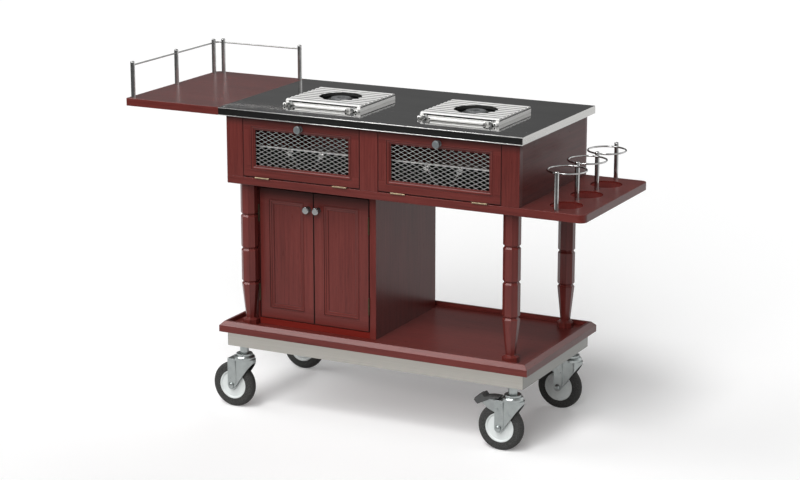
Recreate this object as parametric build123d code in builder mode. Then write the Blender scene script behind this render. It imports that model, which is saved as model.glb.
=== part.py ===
"""Flambe trolley: a wooden service trolley with two gas burners, on four swivel castors.

Frame: +X to the right along the trolley, +Y to the back, +Z up, origin on the floor under the
middle of the outer box. All sizes are in millimetres.
"""
import os
from math import acos, atan2, cos, hypot, sin, sqrt

from build123d import *

os.makedirs("parts", exist_ok=True)

# Top: side shelf, worktop and bottle shelf, from left to right
side_shelf_len = 313.0
worktop_len = 950.0
bottle_reach = 177.0
worktop_d = 510.0
top_t = 22.5
plate_t = 3.0
band_t = 2.0
band_edge_r = 0.8
side_shelf_front_r = 3.0
side_shelf_back_r = 20.0
top_edge_r = 1.5
end_overhang = 13.5
front_overhang = 12.5

# Upper cabinet
cabinet_w = 917.0
cabinet_d = 471.5
cabinet_h = 175.5
wall_t = 18.0
back_t = 12.0
end_stile_w = 53.0
mid_stile_w = 56.0
stile_t = 20.0

# Board that closes the cabinet below and runs on as the bottle shelf
shelf_t = 23.0
shelf_corner_r = 20.0
shelf_edge_r = 1.5
recess_d = 91.0
recess_deep = 4.0

# Legs: octagonal, with cut rings and a tapered foot
leg_h = 429.0
leg_af = 46.0
leg_ankle_af = 26.0
leg_collar_af = 45.0
leg_collar_h = 16.0
leg_collar_bevel = 5.0
leg_end_in = 74.5
leg_side_in = 58.0
groove_deep = 4.0
groove_half_h = 5.5
groove_pitch = 101.0
groove_first = 129.0

# Base tray
base_len = 983.0
base_d = 502.0
tray_t = 19.0
lip_h = 12.0
lip_w = 20.0

# Steel chassis
chassis_in = 18.5
chassis_h = 44.0
sheet_t = 3.0
flange_w = 30.0

# Castors
wheel_d = 136.0
tyre_w = 28.0
tyre_shoulder_r = 12.0
hub_r = 43.0
hub_rim_w = 3.0
hub_dish = 4.5
boss_r = 10.0
trail = 34.0
stem_end_in = 41.0
stem_side_in = 24.0
fork_gap = 5.0
fork_t = 3.0
fork_nose = 13.0
fork_nose_h = 7.0
cheek_r = 12.0
crown_clear = 11.3
axle_r = 4.0
axle_head_r = 6.5
axle_head_h = 5.0
head_r = 31.0
head_neck_r = 24.0
head_h = 17.0
stem_r = 13.0
stem_len = 24.1
swivel_r = 6.0
rivet_r = 10.0
rivet_h = 4.0
mount_plate_t = 5.0
mount_plate_reach = 40.0
nut_r = 10.0
nut_h = 8.0
bolt_tail = 4.0

# Brake on the right-hand castors
brake_pin_r = 3.0
brake_pin_drop = 14.5
brake_pin_back = 5.5
brake_stub = 2.5
brake_boss_r = 5.0
brake_boss_h = 1.5
ear_t = 1.5
pedal_w = 34.0
shoe_w = 30.0

# Cupboard between the legs
cupboard_w = 410.5
cupboard_setback = 17.0
cupboard_back_out = 15.0
cupboard_inset = -6.0
cupboard_leg_wall_t = 28.0
cupboard_wall_t = 20.0
cupboard_deck_t = 18.0
notch_lap = 26.0
leg_clear = 0.7

# Doors
flap_t = 20.0
flap_side_gap = 1.5
flap_top_gap = 3.0
flap_stile_w = 37.0
flap_rail_w = 33.0
flap_bevel = 11.0
flap_bevel_deep = 6.0
mesh_setback = 9.0
mesh_t = 1.5
mesh_lap = 14.0
mesh_cell_w = 24.0
mesh_cell_h = 12.0
mesh_strand = 1.2
door_t = 18.0
door_gap = 2.0
door_frame_w = 45.0
door_field_deep = 5.0
door_bevel = 13.0
door_bevel_deep = 4.0

# Door furniture
knob_r = 11.0
knob_len = 22.0
knob_head_h = 8.0
knob_neck_r = 5.0
knob_rose_r = 8.5
knob_rose_h = 3.0
door_knob_in = 15.0
door_knob_down = 48.0
hinge_gap = 3.0
leaf_t = 1.0
leaf_w = 17.0
knuckle_r = 2.5
pin_r = 1.25
pin_out = 2.6
flap_hinge_len = 46.0
flap_hinge_in = 62.0
door_hinge_len = 50.0
door_hinge_in = 76.0

# Side-shelf gallery
post_r = 6.5
post_dome_r = 4.0
gallery_h = 107.0
gallery_drop = 12.0
rail_r = 2.3
rail_side_in = 15.0
rail_back_in = 22.0
rail_front_in = 17.0
mid_post_behind = 236.0
rail_seam_in = 7.0
rail_bend_r = 14.0
rail_tail = 6.0

# Bottle rings
ring_count = 3
ring_pitch = 143.5
ring_d = 112.5
ring_wire_r = 2.5
ring_post_h = 108.0
ring_drop = 10.0
ring_end_in = 91.0

# Burners
burner_w = 241.0
burner_d = 218.0
burner_front_in = 118.6
burner_shift = 12.0
burner_span = 430.0
burner_base_t = 2.0
burner_wall_t = 2.0
burner_pan_h = 8.0
bar_count = 9
bar_pitch = 24.2
bar_w = 21.0
bar_h = 6.0
pan_hole_r = 62.0
grate_ring_w = 7.0
grate_ring_h = 5.0
grate_rail_w = 10.0
grate_rail_h = 2.0
front_bar_r = 4.5
front_bar_in = 35.0
front_bar_out = 12.0
front_bar_foot = 8.0
front_bar_stub = 9.0
tap_r = 6.0
tap_len = 14.0
tap_in = 19.0
tap_shaft_r = 2.0
tap_grip_w = 3.0
tap_grip_h = 2.0
head_skirt_r = 40.0
head_skirt_h = 4.0
head_crown_r = 33.0
head_crown_h = 4.0
head_cap_r = 28.0
head_cap_h = 4.0
head_eye_r = 12.0

# Gas panel and pipes behind each flap
panel_behind = 14.5
panel_t = 2.0
panel_h = 88.0
panel_foot = 25.0
panel_side_gap = 2.0
union_r = 8.0
union_len = 9.0
union_apart = 101.0
union_drop = 11.0
pipe_r = 2.5
tee_w = 22.0
tee_h = 12.0

# Clearances
run_clear = 0.05
seat_clear = 0.1
face_gap = 0.3
knob_gap = 0.5

# Places along X
overall_len = side_shelf_len + worktop_len + bottle_reach
x_left = -overall_len / 2
x_seam = x_left + side_shelf_len
x_top_right = x_seam + worktop_len
x_right = x_top_right + bottle_reach
x_cab_right = x_top_right - end_overhang
x_cab_left = x_cab_right - cabinet_w
x_mid = (x_cab_left + x_cab_right) / 2

# Places along Y: the flap knobs stand out furthest at the front
y_mid = (knob_len - front_overhang) / 2
y_front = y_mid - worktop_d / 2
y_back = y_mid + worktop_d / 2
cab_front = y_front + front_overhang
cab_back = cab_front + cabinet_d

# Spans that follow the base tray: legs, cupboard, chassis and castor stems
leg_span_x = base_len - 2 * leg_end_in
leg_span_y = base_d - 2 * leg_side_in
cupboard_d = leg_span_y - cupboard_setback + cupboard_back_out
chassis_len = base_len - 2 * chassis_in
chassis_d = base_d - 2 * chassis_in
stem_span_x = chassis_len - 2 * stem_end_in
stem_span_y = chassis_d - 2 * stem_side_in

# Heights from the floor
z_axle = wheel_d / 2
z_crown = wheel_d + crown_clear
z_head = z_crown + fork_t
z_stem = z_head + head_h + face_gap
z_chassis = z_stem + stem_len
z_base = z_chassis + chassis_h
z_tray = z_base + tray_t
z_shelf = z_tray + leg_h
z_deck = z_shelf + shelf_t
z_cab = z_deck + cabinet_h
z_top = z_cab + top_t


def save(piece, name):
    """Label a finished piece and write it to its own file."""
    piece.label = name
    export_step(piece, f"parts/{name}.step")


def block(x0, x1, y0, y1, z0, z1, mode=Mode.ADD):
    """Add a square-edged board, given by its limits, to the part being built."""
    with Locations(((x0 + x1) / 2, (y0 + y1) / 2, (z0 + z1) / 2)):
        Box(x1 - x0, y1 - y0, z1 - z0, mode=mode)


def turned(x, y, z, steps, mode=Mode.ADD):
    """Add a turned piece that grows out of a front face, as (radius, length) steps."""
    for radius, length in steps:
        with Locations(Location((x, y, z), (90, 0, 0))):
            Cylinder(radius, length, align=(Align.CENTER, Align.CENTER, Align.MIN), mode=mode)
        y -= length


# Wooden top board: full thickness as the side shelf, rebated under the worktop plate
with BuildPart() as top_board:
    block(x_left, x_seam, y_front, y_back, z_cab, z_top)
    for corner, radius in ((-1, side_shelf_back_r), (0, side_shelf_front_r)):
        fillet(top_board.edges().filter_by(Axis.Z).group_by(Axis.X)[0].sort_by(Axis.Y)[corner], radius)
    fillet(top_board.faces().sort_by(Axis.Z)[-1].edges().filter_by(
        lambda edge: edge.center().X < x_seam - top_edge_r), top_edge_r)
    block(x_seam, x_top_right - band_t, y_front + band_t, y_back - band_t, z_cab, z_top - plate_t)
save(top_board.part, "top_board")

with BuildPart() as worktop_plate:
    block(x_seam, x_top_right - band_t, y_front + band_t, y_back - band_t, z_top - plate_t, z_top)
save(worktop_plate.part, "worktop_plate")

# Steel band round the worktop: the two long strips and the end strip stay separate pieces
with BuildPart() as long_bands:
    block(x_seam, x_top_right, y_front, y_front + band_t, z_cab, z_top)
    block(x_seam, x_top_right, y_back - band_t, y_back, z_cab, z_top)
    for side in (0, -1):
        fillet(long_bands.faces().sort_by(Axis.Y)[side].edges().filter_by(Axis.X), band_edge_r)
with BuildPart() as end_band:
    block(x_top_right - band_t, x_top_right, y_front + band_t, y_back - band_t, z_cab, z_top)
    fillet(end_band.faces().sort_by(Axis.X)[-1].edges().filter_by(Axis.Y), band_edge_r)
save(Compound(long_bands.part.solids() + end_band.part.solids()), "edge_band")

# Upper cabinet
wall_y0 = cab_front + stile_t
wall_y1 = cab_back - back_t
with BuildPart() as upper_stiles:
    block(x_cab_left, x_cab_left + end_stile_w, cab_front, wall_y0, z_deck, z_cab)
    block(x_mid - mid_stile_w / 2, x_mid + mid_stile_w / 2, cab_front, wall_y0, z_deck, z_cab)
    block(x_cab_right - end_stile_w, x_cab_right, cab_front, wall_y0, z_deck, z_cab)
save(upper_stiles.part, "upper_stiles")

with BuildPart() as upper_walls:
    block(x_cab_left, x_cab_left + wall_t, wall_y0, wall_y1, z_deck, z_cab)
    block(x_mid - wall_t / 2, x_mid + wall_t / 2, wall_y0, wall_y1, z_deck, z_cab)
    block(x_cab_right - wall_t, x_cab_right, wall_y0, wall_y1, z_deck, z_cab)
save(upper_walls.part, "upper_walls")

with BuildPart() as upper_back:
    block(x_cab_left, x_cab_right, wall_y1, cab_back, z_deck, z_cab)
save(upper_back.part, "upper_back")

# Shelf board with a shallow round seat under each bottle ring
x_rings = x_right - ring_end_in
y_shelf = (cab_front + cab_back) / 2
ring_ys = [y_shelf + ring_pitch * (i - (ring_count - 1) / 2) for i in range(ring_count)]
ring_post_ys = [y_shelf + ring_pitch * (i - ring_count / 2) for i in range(ring_count + 1)]
with BuildPart() as shelf_board:
    block(x_cab_left, x_right, cab_front, cab_back, z_shelf, z_deck)
    fillet(shelf_board.edges().filter_by(Axis.Z).group_by(Axis.X)[-1], shelf_corner_r)
    for side in (0, -1):
        fillet(shelf_board.faces().sort_by(Axis.Z)[side].edges(), shelf_edge_r)
    with Locations(*[(x_rings, y, z_deck) for y in ring_ys]):
        Hole(recess_d / 2, recess_deep)
save(shelf_board.part, "shelf_board")

with BuildPart() as ring_posts:
    with BuildSketch(Plane.XY.offset(z_deck)):
        with Locations(*[(x_rings, y) for y in ring_post_ys]):
            Circle(post_r)
    extrude(amount=ring_post_h)
    fillet(ring_posts.edges().group_by(Axis.Z)[-1], post_dome_r)
save(ring_posts.part, "ring_posts")

# Each ring is a loop of wire with a short stub to the post before and behind it
ring_bend_r = ring_d / 2 - ring_wire_r
stub_len = ring_pitch / 2 - post_r - ring_bend_r
stub_mid = ring_bend_r + stub_len / 2
z_ring = z_deck + ring_post_h - ring_drop
with BuildPart() as bottle_rings:
    with Locations(*[(x_rings, y, z_ring) for y in ring_ys]):
        Torus(ring_bend_r, ring_wire_r)
    with Locations(*[(x_rings, y + s * stub_mid, z_ring) for y in ring_ys for s in (-1, 1)]):
        Cylinder(ring_wire_r, stub_len, rotation=(90, 0, 0))
save(bottle_rings.part, "bottle_rings")

# Gallery of posts and one bent rail round the side shelf
x_rail = x_left + rail_side_in
y_rail = y_back - rail_back_in
y_rail_front = y_front + rail_front_in
x_rail_end = x_seam - rail_seam_in
bend_clear = post_r + 1
side_post_ys = [y_rail_front, y_rail_front + mid_post_behind, y_rail - rail_bend_r - bend_clear]
back_post_xs = [x_rail + rail_bend_r + bend_clear, x_rail_end]
z_rail = z_top + gallery_h - gallery_drop
with BuildPart() as gallery_posts:
    with BuildSketch(Plane.XY.offset(z_top)):
        with Locations(*[(x_rail, y) for y in side_post_ys], *[(x, y_rail) for x in back_post_xs]):
            Circle(post_r)
    extrude(amount=gallery_h)
    fillet(gallery_posts.edges().group_by(Axis.Z)[-1], post_dome_r)
    with Locations(*[(x_rail, y, z_rail) for y in side_post_ys]):
        Cylinder(rail_r + run_clear, 3 * post_r, rotation=(90, 0, 0), mode=Mode.SUBTRACT)
    with Locations(*[(x, y_rail, z_rail) for x in back_post_xs]):
        Cylinder(rail_r + run_clear, 3 * post_r, rotation=(0, 90, 0), mode=Mode.SUBTRACT)
save(gallery_posts.part, "gallery_posts")

with BuildPart() as gallery_rail:
    with BuildLine(Plane.XY.offset(z_rail)) as rail_path:
        side_run = Line((x_rail, y_rail_front - rail_tail), (x_rail, y_rail - rail_bend_r))
        bend = JernArc(side_run @ 1, side_run % 1, rail_bend_r, -90)
        Line(bend @ 1, (x_rail_end + rail_tail, y_rail))
    with BuildSketch(Plane(rail_path.line @ 0, z_dir=rail_path.line % 0)):
        Circle(rail_r)
    sweep()
save(gallery_rail.part, "gallery_rail")

# Burners: a low pan with a front bar and two taps, a slatted grate and a round head
y_burner = y_front + burner_front_in + burner_d / 2
burner_xs = [x_mid + burner_shift + s * burner_span / 2 for s in (-1, 1)]
burner_spots = [(x, y_burner) for x in burner_xs]
y_pan_front = y_burner - burner_d / 2
z_pan = z_top + burner_base_t
z_grate = z_pan + burner_pan_h
z_tap = z_top + knob_gap + tap_r
z_front_bar = z_top + knob_gap + front_bar_r
tap_xs = {"left": -burner_w / 2 + tap_in, "right": burner_w / 2 - tap_in}
with BuildPart() as burner_bodies:
    with BuildSketch(Plane.XY.offset(z_top)):
        with Locations(*burner_spots):
            Rectangle(burner_w, burner_d)
    extrude(amount=burner_base_t)
    with BuildSketch(Plane.XY.offset(z_pan)):
        with Locations(*burner_spots):
            Rectangle(burner_w, burner_d)
            Rectangle(burner_w - 2 * burner_wall_t, burner_d - 2 * burner_wall_t, mode=Mode.SUBTRACT)
    extrude(amount=burner_pan_h)
    y_bar = y_pan_front - front_bar_out
    with Locations(*[(x, y_bar, z_front_bar) for x in burner_xs]):
        Cylinder(front_bar_r, burner_w - 2 * front_bar_in, rotation=(0, 90, 0))
    stub_dx = burner_w / 2 - front_bar_stub / 2
    with Locations(*[(x + s * stub_dx, y_bar, z_front_bar) for x in burner_xs for s in (-1, 1)]):
        Cylinder(front_bar_r, front_bar_stub, rotation=(0, 90, 0))
    for x in burner_xs:
        for dx, width in ((burner_w / 2 - front_bar_in - front_bar_foot, front_bar_foot),
                          (stub_dx, front_bar_stub)):
            for s in (-1, 1):
                block(x + s * dx - width / 2, x + s * dx + width / 2, y_bar, y_pan_front, z_pan,
                      z_front_bar + front_bar_r / 2)
    with Locations(*[(x + dx, y_pan_front, z_tap) for x in burner_xs for dx in tap_xs.values()]):
        Cylinder(tap_shaft_r + run_clear, 3 * burner_wall_t, rotation=(90, 0, 0),
                 mode=Mode.SUBTRACT)
save(burner_bodies.part, "burner_bodies")

bar_ys = [y_burner + bar_pitch * (i - (bar_count - 1) / 2) for i in range(bar_count)]
z_bars = z_grate + grate_rail_h
y_rail_end = bar_ys[-1] + bar_w / 2 - bar_h / 2
with BuildPart() as burner_grates:
    for x in burner_xs:
        with BuildSketch(Plane.YZ.offset(x - burner_w / 2)):
            with Locations(*[(y, z_bars + bar_h / 2) for y in bar_ys]):
                Ellipse(bar_w / 2, bar_h / 2)
        extrude(amount=burner_w)
    with BuildSketch(Plane.XY.offset(z_bars)):
        with Locations(*burner_spots):
            Circle(pan_hole_r)
    extrude(amount=bar_h, mode=Mode.SUBTRACT)
    with BuildSketch(Plane.XY.offset(z_bars + 1)):
        with Locations(*burner_spots):
            Circle(pan_hole_r + grate_ring_w)
            Circle(pan_hole_r, mode=Mode.SUBTRACT)
    extrude(amount=-grate_ring_h)
    with BuildSketch(Plane.XY.offset(z_grate)):
        rail_dx = burner_w / 2 - grate_rail_w / 2
        with Locations(*[(x + s * rail_dx, (y_pan_front + y_rail_end) / 2) for x in burner_xs
                         for s in (-1, 1)]):
            Rectangle(grate_rail_w, y_rail_end - y_pan_front)
    extrude(amount=grate_rail_h + 1)
save(burner_grates.part, "burner_grates")

with BuildPart() as burner_heads:
    z_step = z_pan
    for radius, height in ((head_skirt_r, head_skirt_h), (head_crown_r, head_crown_h),
                           (head_cap_r, head_cap_h)):
        with BuildSketch(Plane.XY.offset(z_step)):
            with Locations(*burner_spots):
                Circle(radius)
        extrude(amount=height)
        z_step += height
    fillet(burner_heads.edges().group_by(Axis.Z)[-1], head_cap_h / 3)
    with Locations(*[(x, y, z_step) for x, y in burner_spots]):
        Hole(head_eye_r, head_cap_h + head_crown_h)
save(burner_heads.part, "burner_heads")

y_tap_face = y_pan_front - knob_gap - tap_len
for unit, x in zip(("left", "right"), burner_xs):
    for hand, dx in tap_xs.items():
        with BuildPart() as burner_knob:
            turned(x + dx, y_pan_front - knob_gap, z_tap, [(tap_r, tap_len)])
            fillet(burner_knob.edges().group_by(Axis.Y)[0], tap_grip_h / 2)
            block(x + dx - tap_grip_w / 2, x + dx + tap_grip_w / 2, y_tap_face - tap_grip_h,
                  y_tap_face + tap_grip_h, z_tap - tap_r * 0.8, z_tap + tap_r * 0.8)
            turned(x + dx, y_pan_front + 2 * burner_wall_t, z_tap,
                   [(tap_shaft_r, 2 * burner_wall_t + 2 * knob_gap)])
        save(burner_knob.part, f"{unit}_burner_knob_{hand}")

# Gas panel on the cabinet floor behind each flap, with two unions and the pipes between them
bay_w = (cabinet_w - 2 * end_stile_w - mid_stile_w) / 2
bay_xs = {"left": x_cab_left + end_stile_w + bay_w / 2, "right": x_cab_right - end_stile_w - bay_w / 2}
y_panel = cab_front + flap_t + panel_behind
with BuildPart() as valve_panels:
    for x in bay_xs.values():
        half = bay_w / 2 - panel_side_gap
        block(x - half, x + half, y_panel, y_panel + panel_t, z_deck, z_deck + panel_h)
        block(x - half, x + half, y_panel, y_panel + panel_foot, z_deck, z_deck + panel_t)
save(valve_panels.part, "valve_panels")

y_pipe = y_panel - union_len / 2
z_union = z_deck + panel_h - union_drop
with BuildPart() as gas_pipes:
    for x in bay_xs.values():
        block(x - tee_w / 2, x + tee_w / 2, y_panel - union_len, y_panel, z_deck, z_deck + tee_h)
        for s in (-1, 1):
            foot = Vector(x + s * tee_w / 4, y_pipe, z_deck + tee_h / 2)
            top = Vector(x + s * union_apart / 2, y_pipe, z_union)
            turned(top.X, y_panel, z_union, [(union_r, union_len)])
            with BuildSketch(Plane(foot, z_dir=top - foot)):
                Circle(pipe_r)
            extrude(amount=(top - foot).length)
save(gas_pipes.part, "gas_pipes")


def hinge_fixed(plane, length):
    """Add the fixed half of a butt hinge: outer knuckles, pin and leaf."""
    half = length / 2
    reach = knuckle_r + face_gap
    with Locations(plane):
        Cylinder(pin_r, length, rotation=(0, 90, 0))
    with Locations(*[plane * Location((s * 3 * half / 4, 0, 0)) for s in (-1, 1)]):
        Cylinder(knuckle_r, half / 2, rotation=(0, 90, 0))
    leaf_z = leaf_t / 2 - hinge_gap / 2
    with Locations(*[plane * Location((s * 3 * half / 4, reach / 2, leaf_z)) for s in (-1, 1)]):
        Box(half / 2, reach, leaf_t)
    with Locations(plane * Location((0, (reach + leaf_w) / 2, leaf_z))):
        Box(length, leaf_w - reach, leaf_t)


def hinge_moving(plane, length):
    """Add the moving half of a butt hinge: middle knuckle with its bore, and leaf."""
    middle = length / 2 - 2 * face_gap
    reach = knuckle_r + face_gap
    leaf_z = hinge_gap / 2 - leaf_t / 2
    with Locations(plane):
        Cylinder(knuckle_r, middle, rotation=(0, 90, 0))
    with Locations(plane * Location((0, reach / 2, leaf_z))):
        Box(middle, reach, leaf_t)
    with Locations(plane * Location((0, (reach + leaf_w) / 2, leaf_z))):
        Box(length, leaf_w - reach, leaf_t)
    with Locations(plane):
        Cylinder(pin_r + run_clear, length, rotation=(0, 90, 0), mode=Mode.SUBTRACT)


# Flaps: a moulded frame hinged along its bottom edge, with an expanded metal panel
flap_w = bay_w - 2 * flap_side_gap
flap_h = cabinet_h - hinge_gap - flap_top_gap
mesh_w = flap_w - 2 * flap_stile_w
mesh_h = flap_h - 2 * flap_rail_w
z_flap = z_deck + hinge_gap + flap_h / 2
z_flap_pin = z_deck + hinge_gap / 2
y_flap_pin = cab_front - pin_out
cell_d = mesh_cell_w / 2 * mesh_cell_h / 2 / hypot(mesh_cell_w / 2, mesh_cell_h / 2)
cell_scale = 1 - mesh_strand / 2 / cell_d
hole_w = mesh_cell_w * cell_scale
hole_h = mesh_cell_h * cell_scale
half_cols = int((mesh_w / 2 + mesh_lap - 1 - hole_w / 2) / (mesh_cell_w / 2))
half_rows = int((mesh_h / 2 + mesh_lap - 1 - hole_h / 2) / (mesh_cell_h / 2))
cells = [(i, j) for i in range(-half_cols, half_cols + 1) for j in range(-half_rows, half_rows + 1)
         if (i + j) % 2 == 0]
hole_spots = [(i * mesh_cell_w / 2, j * mesh_cell_h / 2) for i, j in cells]
flap_hinge_planes = {}
for hand, x in bay_xs.items():
    front = Plane((x, cab_front, z_flap), x_dir=(1, 0, 0), z_dir=(0, -1, 0))
    with BuildPart() as flap:
        with BuildSketch(front):
            Rectangle(flap_w, flap_h)
            Rectangle(mesh_w, mesh_h, mode=Mode.SUBTRACT)
        extrude(amount=-flap_t)
        face = flap.faces().sort_by(Axis.Y)[0]
        chamfer(face.inner_wires()[0].edges(), flap_bevel, flap_bevel_deep, reference=face)
        with BuildSketch(front.offset(-mesh_setback)):
            Rectangle(mesh_w + 2 * mesh_lap, mesh_h + 2 * mesh_lap)
        extrude(amount=mesh_setback - flap_t, mode=Mode.SUBTRACT)
    save(flap.part, f"flap_{hand}")

    with BuildPart() as mesh:
        with BuildSketch(front.offset(-mesh_setback)):
            Rectangle(mesh_w + 2 * (mesh_lap - seat_clear), mesh_h + 2 * (mesh_lap - seat_clear))
            with Locations(*hole_spots):
                Polygon((-hole_w / 2, 0), (0, -hole_h / 2), (hole_w / 2, 0), (0, hole_h / 2),
                        mode=Mode.SUBTRACT)
        extrude(amount=-mesh_t)
    save(mesh.part, f"mesh_{hand}")

    with BuildPart() as flap_knob:
        turned(x, cab_front, z_flap + flap_h / 2 - flap_rail_w / 2,
               [(knob_rose_r, knob_rose_h), (knob_neck_r, knob_len - knob_head_h - knob_rose_h),
                (knob_r, knob_head_h)])
        fillet(flap_knob.edges().group_by(Axis.Y)[0], knob_head_h / 4)
    save(flap_knob.part, f"flap_knob_{hand}")

    flap_hinge_planes[hand] = [
        Plane((x + s * (flap_w / 2 - flap_hinge_in), y_flap_pin, z_flap_pin), x_dir=(1, 0, 0),
              z_dir=(0, 0, 1)) for s in (-1, 1)]
    with BuildPart() as flap_leaf:
        for plane in flap_hinge_planes[hand]:
            hinge_moving(plane, flap_hinge_len)
    save(flap_leaf.part, f"flap_leaf_{hand}")

# Legs
leg_x = [x_mid + s * leg_span_x / 2 for s in (-1, 1)]
leg_y = [y_mid + s * leg_span_y / 2 for s in (-1, 1)]
z_groove = [z_tray + groove_first + i * groove_pitch for i in range(3)]
leg_rings = [(z_tray, leg_collar_af), (z_tray + leg_collar_h, leg_collar_af),
             (z_tray + leg_collar_h + leg_collar_bevel, leg_ankle_af)]
for z in z_groove:
    leg_rings += [(z - groove_half_h, leg_af), (z, leg_af - 2 * groove_deep), (z + groove_half_h, leg_af)]
leg_rings.append((z_shelf, leg_af))
with BuildPart() as leg:
    for z, across in leg_rings:
        with BuildSketch(Plane.XY.offset(z)):
            RegularPolygon(across / 2, 8, major_radius=False, rotation=22.5)
    loft(ruled=True)
for row, y in zip(("front", "back"), leg_y):
    pair = [leg.part.solid().moved(Location((x, y, 0))) for x in leg_x]
    save(Compound(pair), f"{row}_legs")

# Cupboard standing on the tray between the left legs, cut on the slant past the front one
# and notched round the back one
leg_diagonal = leg_af / sqrt(2) + leg_clear * sqrt(2)
leg_side = leg_af / 2 + leg_clear
cup_front = leg_y[0] + cupboard_setback
cup_left = leg_x[0] + cupboard_inset
cup_right = cup_left + cupboard_w
cup_back = cup_front + cupboard_d
cup_in_left = cup_left + cupboard_leg_wall_t
cup_in_right = cup_right - cupboard_wall_t
notch_front = leg_y[1] - leg_side
notch_right = leg_x[0] + leg_side
z_cup_floor = z_tray + cupboard_deck_t
z_cup_ceiling = z_shelf - cupboard_deck_t
with BuildPart() as cupboard_sides:
    with BuildSketch(Plane.XY.offset(z_tray)):
        Polygon((leg_x[0] + leg_diagonal - cupboard_setback, cup_front), (cup_in_left, cup_front),
                (cup_in_left, notch_front), (cup_left, notch_front),
                (cup_left, leg_y[0] + leg_diagonal - cupboard_inset), align=None)
    extrude(amount=z_shelf - z_tray)
    block(cup_in_right, cup_right, cup_front, cup_back, z_tray, z_shelf)
save(cupboard_sides.part, "cupboard_sides")

with BuildPart() as cupboard_decks:
    block(cup_in_left, cup_in_right, cup_front, cup_back - back_t, z_tray, z_cup_floor)
    block(cup_in_left, cup_in_right, cup_front, cup_back - back_t, z_cup_ceiling, z_shelf)
    block(cup_left, notch_right, notch_front, cup_back, z_tray, z_shelf, mode=Mode.SUBTRACT)
save(cupboard_decks.part, "cupboard_decks")

with BuildPart() as back_panel:
    block(notch_right, cup_in_right, cup_back - back_t, cup_back, z_tray, z_shelf)
with BuildPart() as notch_board:
    block(cup_in_left, cup_in_left + back_t, notch_front - notch_lap, notch_front, z_cup_floor,
          z_cup_ceiling)
    block(notch_right, cup_in_left + back_t, notch_front, cup_back - back_t, z_cup_floor, z_cup_ceiling)
save(Compound(back_panel.part.solids() + notch_board.part.solids()), "cupboard_back")

# Cupboard doors: framed, with a sunk field, hinged at their outer edges
door_w = (cup_in_right - cup_in_left - 2 * hinge_gap - door_gap) / 2
door_h = z_cup_ceiling - z_cup_floor - 2 * door_gap
z_door = (z_cup_floor + z_cup_ceiling) / 2
y_door_pin = cup_front - pin_out
door_hinge_planes = {}
for hand, s, x_jamb in (("left", -1, cup_in_left), ("right", 1, cup_in_right)):
    x_door = x_jamb - s * (hinge_gap + door_w / 2)
    front = Plane((x_door, cup_front, z_door), x_dir=(1, 0, 0), z_dir=(0, -1, 0))
    with BuildPart() as door:
        with BuildSketch(front):
            Rectangle(door_w, door_h)
        extrude(amount=-door_t)
        with BuildSketch(front):
            Rectangle(door_w - 2 * door_frame_w, door_h - 2 * door_frame_w)
        extrude(amount=-door_field_deep, mode=Mode.SUBTRACT)
        face = door.faces().sort_by(Axis.Y)[0]
        chamfer(face.inner_wires()[0].edges(), door_bevel, door_bevel_deep, reference=face)
    save(door.part, f"cupboard_door_{hand}")

    with BuildPart() as door_knob:
        turned(x_door - s * (door_w / 2 - door_knob_in), cup_front, z_door + door_h / 2 - door_knob_down,
               [(knob_rose_r, knob_rose_h), (knob_neck_r, knob_len - knob_head_h - knob_rose_h),
                (knob_r, knob_head_h)])
        fillet(door_knob.edges().group_by(Axis.Y)[0], knob_head_h / 2.5)
    save(door_knob.part, f"cupboard_knob_{hand}")

    door_hinge_planes[hand] = [
        Plane((x_jamb - s * hinge_gap / 2, y_door_pin, z_door + t * (door_h / 2 - door_hinge_in)),
              x_dir=(0, 0, s), z_dir=(-s, 0, 0)) for t in (-1, 1)]
    with BuildPart() as door_leaf:
        for plane in door_hinge_planes[hand]:
            hinge_moving(plane, door_hinge_len)
    save(door_leaf.part, f"cupboard_leaf_{hand}")

with BuildPart() as fixed_hinges:
    for plane in flap_hinge_planes["left"] + flap_hinge_planes["right"]:
        hinge_fixed(plane, flap_hinge_len)
    for plane in door_hinge_planes["left"] + door_hinge_planes["right"]:
        hinge_fixed(plane, door_hinge_len)
save(fixed_hinges.part, "fixed_hinges")

# Base tray with a mitred, sloping lip
base_x = [x_mid - base_len / 2, x_mid + base_len / 2]
base_y = [y_mid - base_d / 2, y_mid + base_d / 2]
with BuildPart() as tray_floor:
    block(base_x[0], base_x[1], base_y[0], base_y[1], z_base, z_tray)
save(tray_floor.part, "tray_floor")

with BuildPart() as long_lips:
    with BuildSketch(Plane.XY.offset(z_tray)):
        Polygon((base_x[0], base_y[0]), (base_x[1], base_y[0]), (base_x[1] - lip_w, base_y[0] + lip_w),
                (base_x[0] + lip_w, base_y[0] + lip_w), align=None)
    extrude(amount=lip_h)
    with BuildSketch(Plane.YZ.offset(base_x[0])):
        Polygon((base_y[0], z_tray), (base_y[0] + lip_w, z_tray), (base_y[0] + lip_w, z_tray + lip_h),
                (base_y[0] + lip_h, z_tray + lip_h), align=None)
    extrude(amount=base_len, mode=Mode.INTERSECT)
    mirror(about=Plane.XZ.offset(-y_mid))
with BuildPart() as end_lips:
    with BuildSketch(Plane.XY.offset(z_tray)):
        Polygon((base_x[0], base_y[0]), (base_x[0] + lip_w, base_y[0] + lip_w),
                (base_x[0] + lip_w, base_y[1] - lip_w), (base_x[0], base_y[1]), align=None)
    extrude(amount=lip_h)
    with BuildSketch(Plane.XZ.offset(-base_y[1])):
        Polygon((base_x[0], z_tray), (base_x[0] + lip_w, z_tray), (base_x[0] + lip_w, z_tray + lip_h),
                (base_x[0] + lip_h, z_tray + lip_h), align=None)
    extrude(amount=base_d, mode=Mode.INTERSECT)
    mirror(about=Plane.YZ.offset(x_mid))
save(Compound(long_lips.part.solids() + end_lips.part.solids()), "tray_lip")

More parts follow.
